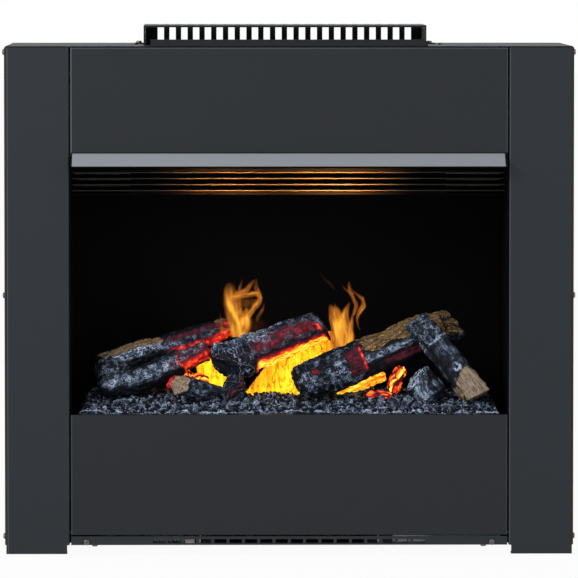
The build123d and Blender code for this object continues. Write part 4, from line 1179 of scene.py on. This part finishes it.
def bed_height(x, y):
    """How high the bed's paint lies above the tray's floor, before its pebbles."""
    back_share = math.sin(min(1, max(0, (y - bed_box[0].y) / bed_slope)) * math.pi / 2)
    side_share = min(1, (bed_half - abs(x)) / bed_side_slope)
    return bed_edge + bed_rise * min(back_share, side_share)


def pebbles(x, y, size, seed):
    """Rounded pebbles packed side by side: their height from 0 to 1, and a number for each."""
    distances, centres = noise.voronoi(Vector((x, y, seed)) / size)
    return math.sqrt(max(0, 1 - (distances[0] / 0.72) ** 2)), noise.cell(centres[0] * 9.1)


def pebbled(x, y):
    """The bed's own height and its ash, pebbles included."""
    broad = noise.noise(Vector((x, y, 4.0)) / 0.028)
    large, large_tone = pebbles(x, y, large_pebble, 0.31)
    small, small_tone = pebbles(x, y, small_pebble, 0.73)
    behind_edge = y - bed_box[0].y
    inside = min(1, max(0, behind_edge / 0.005)) * min(1, max(0, (bed_half - abs(x)) / 0.006))
    lift = 0.0022 * broad + 0.0034 * large * large_tone + 0.0022 * small * (0.4 + small_tone)
    fine = noise.fractal(Vector((x, y, 9.0)) / 0.0026, 0.8, 2.0, 3)
    ash = 0.36 + 0.35 * fine + 0.22 * small * small_tone - 0.2 * (1 - large)
    rim = bump(behind_edge, rim_place + 0.0022 * broad, 0.0022)
    height = bed_height(x, y) + (lift + 0.0007 * fine) * inside + 0.0012 * rim * inside
    return height, ash * (0.55 + 0.45 * soft(behind_edge, 0.004, 0.012)) + 0.75 * rim


def bed_moulding():
    work = new_log_work()
    step = vertex_step * 1.2
    across = int(2 * bed_half / step)
    deep = int((bed_box[1].y - bed_box[0].y) / step)
    middle_y = (bed_box[0].y + bed_box[1].y) / 2
    half_y = (bed_box[1].y - bed_box[0].y) / 2
    ash_layer = work.verts.layers.float["ash"]
    cell_layer = work.verts.layers.float["cell"]
    straight = work.verts.layers.float_vector["straight"]
    for vert in bmesh.ops.create_grid(work, x_segments=across, y_segments=deep, size=1)["verts"]:
        x = vert.co.x * bed_half
        y = middle_y + vert.co.y * half_y
        height, ash = pebbled(x, y)
        vert.co = (x, y, tray_floor + height)
        vert[ash_layer] = ash
        vert[cell_layer] = bed_webs
        vert[straight] = bed_fineness * (vert.co + noise.noise_vector(vert.co / 0.004) * 0.0013)
    slot = []
    for face in work.faces:
        centre = face.calc_center_median()
        if abs(centre.x) < nozzle_half and abs(centre.y - nozzle_middle) < nozzle_reach:
            slot.append(face)
    bmesh.ops.delete(work, geom=slot, context="FACES")
    rims = [edge for edge in work.edges if edge.is_boundary]
    walls = bmesh.ops.extrude_edge_only(work, edges=rims)["geom"]
    for vert in walls:
        if isinstance(vert, bmesh.types.BMVert):
            vert.co.z = bed_box[0].z
    low_rims = [edge for edge in walls if isinstance(edge, bmesh.types.BMEdge) and edge.is_boundary]
    bmesh.ops.triangle_fill(work, edges=low_rims, use_beauty=True)
    bmesh.ops.recalc_face_normals(work, faces=work.faces)
    return work


place_burnt("ember_bed_moulding", bed_moulding(), "ember_bed")


def granules():
    """Loose grit over the bed, each grain of a few faces."""
    work = new_log_work()
    ash_layer = work.verts.layers.float["ash"]
    straight = work.verts.layers.float_vector["straight"]
    spread = random.Random(8)
    for i in range(granule_count):
        x = spread.uniform(-1, 1) * (bed_half - granule_inset)
        y = bed_box[0].y + granule_start + granule_reach * spread.random() ** 1.6
        size = spread.uniform(least_granule, most_granule)
        tilt = Euler([spread.uniform(0, math.pi) for axis in range(3)]).to_matrix().to_4x4()
        stretch = Matrix.Diagonal((1, spread.uniform(0.55, 1), spread.uniform(0.5, 0.9), 1))
        height = pebbled(x, y)[0]
        place = Matrix.Translation((x, y, tray_floor + height + size * 0.25)) @ tilt @ stretch
        ash = spread.uniform(-0.5, 0.4)
        for vert in bmesh.ops.create_icosphere(work, subdivisions=1, radius=size, matrix=place)["verts"]:
            vert.co += noise.noise_vector(vert.co / 0.003) * size * 0.3
            vert[ash_layer] = ash
            vert[straight] = bed_fineness * vert.co
    return work


place_burnt("ember_granules", granules())

# Shards that stand out of the bed: where each is, over the bed, and how high and wide it is.
shards = (
    (-0.2335, 0.022, 0.0165, 0.0048), (-0.2090, 0.030, 0.0085, 0.0060), (-0.1960, 0.027, 0.0090, 0.0048),
    (-0.1750, 0.034, 0.0100, 0.0070), (-0.1390, 0.018, 0.0110, 0.0060), (-0.1140, 0.020, 0.0080, 0.0085),
    (-0.0520, 0.030, 0.0120, 0.0080), (-0.0380, 0.024, 0.0110, 0.0070), (0.0080, 0.030, 0.0120, 0.0065),
    (0.0440, 0.020, 0.0095, 0.0062), (0.1090, 0.030, 0.0150, 0.0055), (0.1260, 0.034, 0.0120, 0.0080),
    (0.1420, 0.036, 0.0120, 0.0085), (0.1930, 0.022, 0.0075, 0.0110), (0.2280, 0.030, 0.0070, 0.0080),
)
shard_taper = (1, 0.8, 0.25)
shard_root = 0.003


def paint_shard(share, turn, crack, raised, out):
    return 0.45 * raised + 0.25 * share, 0, 0, 0.2, 0.5


def bed_shards():
    work = new_log_work()
    for i, (x, deep, high, wide) in enumerate(shards):
        foot = bed_height(x, front_plane + deep)
        lean = 0.3 * high * math.sin(5.3 * i)
        points = laid(
            x, (0, deep, foot - shard_root), (lean / 2, deep, foot + high / 2), (lean, deep, foot + high),
        )
        radii = [wide * taper for taper in shard_taper]
        shard = Log("shard", points, radii, 3.7 * i, ridge=0.0012, cell=0.006, cap=0.001)
        shard.model(work, paint_shard)
    return work


place_burnt("ember_shards", bed_shards())


# Glowing lumps under the logs. Translucent resin, painted dark outside and lit from below by the
# lamps, so that the thin places shine red to yellow.


def paint_dull_lump(share, turn, crack, raised, out):
    return 0.30 * raised, 0, 0.30 * bump(turn, 1.5, 0.9) * (1 - crack), 0, 0.3


def paint_bright_lump(share, turn, crack, raised, out):
    return 0, 0, 0.55 + 0.55 * raised - 0.12 * crack, 0.5


def paint_hot_lump(share, turn, crack, raised, out):
    return 0, 0, 0.52 + 0.45 * bump(turn, 1.5, 0.5) + 0.3 * raised - 0.45 * crack, 0.5


def paint_red_lump(share, turn, crack, raised, out):
    return 0, 0, 0.42 + 0.15 * raised, 0


def paint_brown_lump(share, turn, crack, raised, out):
    return 0, 0.3, 0.42 + 0.45 * raised - 0.35 * crack, 0.8


lumps = (
    (
        ((-0.070, 0.052, 0.032), (-0.066, 0.052, 0.047), (-0.064, 0.054, 0.060)),
        (0.012, 0.0135, 0.010), paint_dull_lump,
    ),
    (
        ((0.062, 0.090, 0.0385), (0.090, 0.088, 0.0475), (0.115, 0.088, 0.058)),
        (0.0035, 0.0065, 0.0065), paint_bright_lump,
    ),
    (
        ((0.098, 0.066, 0.036), (0.110, 0.064, 0.037), (0.122, 0.066, 0.036)),
        (0.006, 0.0065, 0.006), paint_brown_lump,
    ),
    (
        ((0.127, 0.080, 0.042), (0.131, 0.078, 0.055), (0.137, 0.080, 0.066)),
        (0.0080, 0.0095, 0.0085), paint_hot_lump,
    ),
    (
        ((-0.138, 0.105, 0.046), (-0.129, 0.105, 0.050), (-0.118, 0.105, 0.056)),
        (0.009, 0.013, 0.012), paint_hot_lump,
    ),
    (
        ((-0.118, 0.074, 0.050), (-0.110, 0.078, 0.056), (-0.100, 0.084, 0.054)),
        (0.007, 0.0085, 0.007), paint_hot_lump,
    ),
    (
        ((-0.145, 0.070, 0.048), (-0.140, 0.071, 0.053), (-0.134, 0.072, 0.056)),
        (0.004, 0.0055, 0.0045), paint_red_lump,
    ),
)
lump_work = new_log_work()
for i, (points, radii, paint) in enumerate(lumps):
    Log("lump", laid(0, *points), radii, 5.3 + 1.3 * i, cell=0.007, swell=0.25).model(lump_work, paint)
place_burnt("glowing_lumps", lump_work, "ember_lumps")


# The flames. Cold mist from the nozzle, lit from below by the lamps. It has no solid, so each flame
# is drawn as a thin lens of mist, as wide as its tongues are and thickest in their middles.
mist_step = 0.0009
mist_thickness = 0.0045
mist_skin = 0.0004
mist_bow = 0.006
least_mist = 0.006
tongue_samples = 26


def warped(across, up, seed):
    """A place in the flame, pushed about as mist curls."""
    place = Vector((across, up * 0.55, seed))
    push = noise.noise_vector(place / 0.011) * 0.0019 + noise.noise_vector(place / 0.0042) * 0.0008
    return across + push.x, up + push.y


def tongue_at(samples, across, up, seed):
    """How dense one tongue is at a place, from 0 to 1, and how bright its strand is there."""
    best = None
    for i, ((x0, z0, w0, d0), (x1, z1, w1, d1)) in enumerate(zip(samples, samples[1:])):
        run_x, run_z = x1 - x0, z1 - z0
        run = run_x * run_x + run_z * run_z + 1e-12
        share = min(1, max(0, ((across - x0) * run_x + (up - z0) * run_z) / run))
        off_x, off_z = across - x0 - run_x * share, up - z0 - run_z * share
        width = max(0.0002, w0 + (w1 - w0) * share)
        off = math.hypot(off_x, off_z) / width
        if best is None or off < best[0]:
            side = 1 if off_x * run_z - off_z * run_x > 0 else -1
            best = off, side, i + share, d0 + (d1 - d0) * share
    off, side, onward, dense = best
    if off >= 1:
        return 0, 0
    strand = 0.5 + 0.7 * noise.noise(Vector((side * off * 2.4, onward / 7, seed)))
    return max(0, dense) * (1 - soft(off, 0.35, 1)) * (0.52 + 0.66 * strand), strand


def lit_mist():
    finish = Finish("lit_mist", (0, 0, 0), Specular_IOR_Level=0, Roughness=1, Emission_Strength=1.0)
    fine = finish.grain(1, 3, 0.55, finish.scaled(finish.place(), (330, 330, 60)))
    finish.show("Alpha", finish.mask("mist") * (0.72 + 0.56 * fine))
    stops = [
        (0.0, (0.22, 0.050, 0.009)),
        (0.35, (0.46, 0.135, 0.018)),
        (0.62, (0.68, 0.23, 0.026)),
        (0.85, (0.92, 0.37, 0.034)),
        (1.0, (1.0, 0.54, 0.055)),
    ]
    warmth = finish.mask("warmth") + (fine - 0.5) * 0.5
    finish.show("Emission Color", finish.node("ShaderNodeValToRGB", {"stops": stops}, {"Fac": warmth}))
    return finish


mist = lit_mist()


def flame(name, foot, height, half_width, tongues):
    """A flame over its foot. Tongues are lists of (across, up, half width, density)."""
    work = bmesh.new()
    mist_layer = work.verts.layers.float.new("mist")
    warmth_layer = work.verts.layers.float.new("warmth")
    curves = []
    for line in tongues:
        points = [Vector(point) for point in line]
        curves.append([on_curve(points, i / (tongue_samples - 1)) for i in range(tongue_samples)])
    columns = int(2 * half_width / mist_step)
    rows = int(height / mist_step)
    for vert in bmesh.ops.create_grid(work, x_segments=columns, y_segments=rows, size=0.5)["verts"]:
        across = vert.co.x * 2 * half_width
        up = (vert.co.y + 0.5) * height
        x, z = warped(across, up, foot.x)
        clear = 1
        brightest = 0
        for i, curve in enumerate(curves):
            dense, strand = tongue_at(curve, x, z, foot.x * 9 + i * 5.3)
            clear *= 1 - min(0.96, dense)
            brightest = max(brightest, dense * (0.6 + 0.5 * strand))
        vert[mist_layer] = 1 - math.sqrt(clear)
        vert[warmth_layer] = 0.05 + 0.95 * brightest * (1 - 0.40 * soft(up, 0.25 * height, height))
        bow = mist_bow * math.sin(across / half_width * 2 + up / height * 3)
        vert.co = (foot.x + across, foot.y + bow, foot.z + up)
    thin = []
    for face in work.faces:
        if all(vert[mist_layer] < least_mist for vert in face.verts):
            thin.append(face)
    bmesh.ops.delete(work, geom=thin, context="FACES")
    bmesh.ops.solidify(work, geom=work.faces[:], thickness=mist_skin)
    bmesh.ops.recalc_face_normals(work, faces=work.faces)
    work.normal_update()
    for vert in work.verts:
        vert.co.y += math.copysign(mist_thickness, vert.normal.y) * vert[mist_layer]
    made = finished_mesh(name, work)
    made.data.materials.append(mist.material)
    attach(made, "casing")


flame(
    "flame_left", laid(0, (-0.0618, 0.112, 0.1045))[0], 0.078, 0.040,
    [
        [(0.001, 0.000, 0.010, 1), (0.000, 0.012, 0.013, 1), (-0.003, 0.022, 0.0125, 1),
         (-0.006, 0.033, 0.010, 0.95), (-0.0090, 0.045, 0.0100, 0.9), (-0.0095, 0.055, 0.0090, 0.75),
         (-0.010, 0.0615, 0.0060, 0.3)],
        [(0.006, 0.002, 0.009, 0.9), (0.009, 0.014, 0.009, 0.9), (0.010, 0.024, 0.0085, 0.85),
         (0.012, 0.034, 0.003, 0.5)],
        [(0.002, 0.020, 0.008, 0.8), (0.003, 0.030, 0.007, 0.75), (0.001, 0.042, 0.005, 0.6),
         (-0.001, 0.054, 0.004, 0.5)],
        [(0.006, 0.018, 0.008, 0.9), (0.014, 0.028, 0.0058, 0.9), (0.022, 0.037, 0.0048, 0.85),
         (0.0265, 0.046, 0.0042, 0.8), (0.0245, 0.054, 0.0038, 0.7), (0.0225, 0.062, 0.0028, 0.5),
         (0.0235, 0.071, 0.001, 0.15)],
        [(-0.007, 0.048, 0.007, 0.8), (0.004, 0.050, 0.0055, 0.75), (0.014, 0.052, 0.005, 0.8),
         (0.022, 0.052, 0.005, 0.8), (0.027, 0.048, 0.0035, 0.6)],
        [(0.000, 0.050, 0.005, 0.7), (0.007, 0.055, 0.005, 0.75), (0.014, 0.061, 0.004, 0.6),
         (0.021, 0.069, 0.0015, 0.2)],
        [(0.003, 0.050, 0.0032, 0.75), (0.003, 0.058, 0.0024, 0.6), (0.0055, 0.065, 0.0014, 0.35),
         (0.006, 0.071, 0.0004, 0.1)],
        [(0.000, 0.040, 0.007, 0.25), (0.012, 0.041, 0.007, 0.28), (0.022, 0.042, 0.005, 0.2)],
        [(-0.0195, 0.006, 0.0038, 0.45), (-0.0205, 0.018, 0.0020, 0.35), (-0.0200, 0.029, 0.0006, 0.1)],
        [(-0.028, 0.009, 0.0016, 0.2), (-0.021, 0.0105, 0.0020, 0.35), (-0.012, 0.009, 0.003, 0.5)],
        [(0.024, 0.020, 0.0026, 0.22), (0.030, 0.031, 0.0024, 0.4), (0.033, 0.041, 0.0012, 0.12)],
        [(0.012, 0.012, 0.012, 0.10), (0.026, 0.014, 0.010, 0.07), (0.036, 0.012, 0.004, 0.02)],
    ],
)
flame(
    "flame_right", laid(0, (0.0685, 0.118, 0.0905))[0], 0.092, 0.034,
    [
        [(-0.004, 0.000, 0.009, 1), (-0.006, 0.015, 0.0095, 1), (-0.0085, 0.029, 0.0085, 0.95),
         (-0.011, 0.041, 0.0075, 0.85), (-0.015, 0.049, 0.004, 0.5), (-0.0175, 0.053, 0.0012, 0.15)],
        [(0.000, 0.000, 0.010, 1), (-0.001, 0.017, 0.010, 1), (-0.004, 0.034, 0.0085, 0.95),
         (-0.0085, 0.045, 0.006, 0.75), (-0.0115, 0.052, 0.002, 0.35), (-0.012, 0.056, 0.0006, 0.1)],
        [(0.004, 0.000, 0.009, 1), (0.005, 0.017, 0.009, 1), (0.001, 0.032, 0.0075, 0.9),
         (0.000, 0.041, 0.0055, 0.75), (0.0025, 0.048, 0.003, 0.55), (0.006, 0.055, 0.001, 0.2)],
        [(0.006, 0.004, 0.005, 0.9), (0.0075, 0.017, 0.005, 0.95), (0.0090, 0.029, 0.0042, 0.85),
         (0.0098, 0.035, 0.0026, 0.6), (0.0115, 0.039, 0.001, 0.2)],
        [(-0.014, 0.002, 0.004, 0.7), (-0.0135, 0.014, 0.0035, 0.6), (-0.015, 0.024, 0.002, 0.3)],
        [(-0.013, 0.022, 0.0024, 0.5), (-0.017, 0.036, 0.0024, 0.55), (-0.0186, 0.047, 0.0014, 0.35),
         (-0.018, 0.053, 0.0004, 0.1)],
        [(0.0085, 0.037, 0.0014, 0.3), (0.0120, 0.043, 0.0028, 0.7), (0.0145, 0.051, 0.003, 0.8),
         (0.0125, 0.058, 0.0026, 0.75), (0.0085, 0.066, 0.0030, 0.75), (0.0060, 0.073, 0.0026, 0.6),
         (0.0055, 0.080, 0.0008, 0.2)],
        [(0.0200, 0.022, 0.0006, 0.2), (0.0165, 0.034, 0.002, 0.5), (0.0190, 0.045, 0.0036, 0.75),
         (0.0232, 0.051, 0.0042, 0.8), (0.0222, 0.059, 0.003, 0.65), (0.0165, 0.065, 0.0020, 0.5),
         (0.0100, 0.070, 0.0010, 0.3)],
        [(0.010, 0.066, 0.0022, 0.5), (0.002, 0.070, 0.0014, 0.4), (-0.001, 0.075, 0.0005, 0.1)],
        [(-0.012, 0.073, 0.0016, 0.05), (-0.021, 0.081, 0.002, 0.09), (-0.029, 0.090, 0.001, 0.03)],
    ],
)


# Mist that glows among the logs, close over the lamps. It is dense, bright and streaked, and it has
# no solid either, so each stretch is drawn as one thin sheet that is clear toward its edges.
glow_step = 0.0022
glow_skin = 0.0008
glow_ripple = 0.004
glow_edge = 0.08


def hot_mist():
    finish = Finish("hot_mist", (0, 0, 0), Specular_IOR_Level=0, Roughness=1, Emission_Strength=1.35)
    heat = finish.mask("warmth")
    edge = finish.mask("mist")
    streaks = finish.grain(1, 3, 0.6, finish.scaled(finish.place(), (190, 190, 24)))
    drawn = finish.grain(1, 2, 0.5, finish.scaled(finish.place(), (120, 120, 11)))
    dark_line = finish.line(drawn, 0.0, 0.035)
    flecks = finish.grain(420, 3, 0.65)
    speckled = finish.mask("speckle")
    warmth = heat + (streaks - 0.5) * 0.9 - 0.32 * dark_line * (1 - speckled)
    warmth = warmth + (flecks - 0.5) * (0.4 + 2.2 * speckled)
    stops = [
        (0.0, (0.16, 0.018, 0.004)),
        (0.25, (0.55, 0.10, 0.006)),
        (0.45, (0.86, 0.28, 0.008)),
        (0.62, (1.0, 0.50, 0.012)),
        (0.80, (1.0, 0.74, 0.02)),
        (1.0, (1.0, 0.93, 0.12)),
    ]
    finish.show("Emission Color", finish.node("ShaderNodeValToRGB", {"stops": stops}, {"Fac": warmth}))
    finish.show("Alpha", finish.share(edge + (flecks - 0.5) * 0.5, 0.1, 0.4))
    return finish


glowing_mist = hot_mist()


def glow_sheet(name, heat, speckle, *corners):
    """Glowing mist between four corners: low left, low right, high right and high left."""
    work = bmesh.new()
    layers = [work.verts.layers.float.new(key) for key in ("mist", "warmth", "speckle")]
    low_left, low_right, high_right, high_left = laid(0, *corners)
    columns = int((low_right - low_left).length / glow_step)
    rows = int((high_left - low_left).length / glow_step)
    for vert in bmesh.ops.create_grid(work, x_segments=columns, y_segments=rows, size=1)["verts"]:
        u = (vert.co.x + 1) / 2
        v = (vert.co.y + 1) / 2
        vert.co = (low_left.lerp(low_right, u)).lerp(high_left.lerp(high_right, u), v)
        vert.co.y += glow_ripple * noise.noise(vert.co / 0.012)
        edge = soft(u, 0, glow_edge) * (1 - soft(u, 1 - glow_edge, 1))
        edge *= soft(v, 0, glow_edge) * (1 - soft(v, 1 - glow_edge, 1))
        warmth = heat + 0.2 * math.sin(math.pi * u) - 0.1 * v
        for layer, value in zip(layers, (edge, warmth, speckle * soft(u, 0.45, 0.9) * (1 - v))):
            vert[layer] = value
    bmesh.ops.solidify(work, geom=work.faces[:], thickness=glow_skin)
    bmesh.ops.recalc_face_normals(work, faces=work.faces)
    made = finished_mesh(name, work)
    made.data.materials.append(glowing_mist.material)
    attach(made, "casing")


glow_sheet(
    "glow_middle", 0.55, 1, (-0.060, 0.092, 0.030), (0.024, 0.088, 0.028), (0.052, 0.128, 0.104),
    (-0.018, 0.100, 0.084),
)
glow_sheet(
    "glow_left", 0.60, 0, (-0.104, 0.100, 0.036), (-0.066, 0.096, 0.034), (-0.058, 0.110, 0.090),
    (-0.117, 0.112, 0.083),
)
glow_sheet(
    "glow_behind", 0.28, 0, (0.034, 0.140, 0.074), (0.062, 0.140, 0.074), (0.056, 0.144, 0.110),
    (0.036, 0.144, 0.110),
)


# The light of the lit mist, as one soft lamp close in front of each flame. It points up and is kept
# in a narrow cone, so that it lights the outlet's slats and little else.
flame_light_colour = (1.0, 0.40, 0.10)
flame_light_size = 0.06
flame_light_spread = 52
flame_light_start = (-0.243, -0.212)
flame_light_target = (-0.214, -0.05)
for side, across, watts in (("left", -0.066, 1.6), ("right", 0.056, 2.9)):
    flame_light = soft_lamp(
        "flame_light_" + side, (across, *flame_light_start), flame_light_size, watts,
        flame_light_colour, (across, *flame_light_target),
    )
    flame_light.data.spread = math.radians(flame_light_spread)
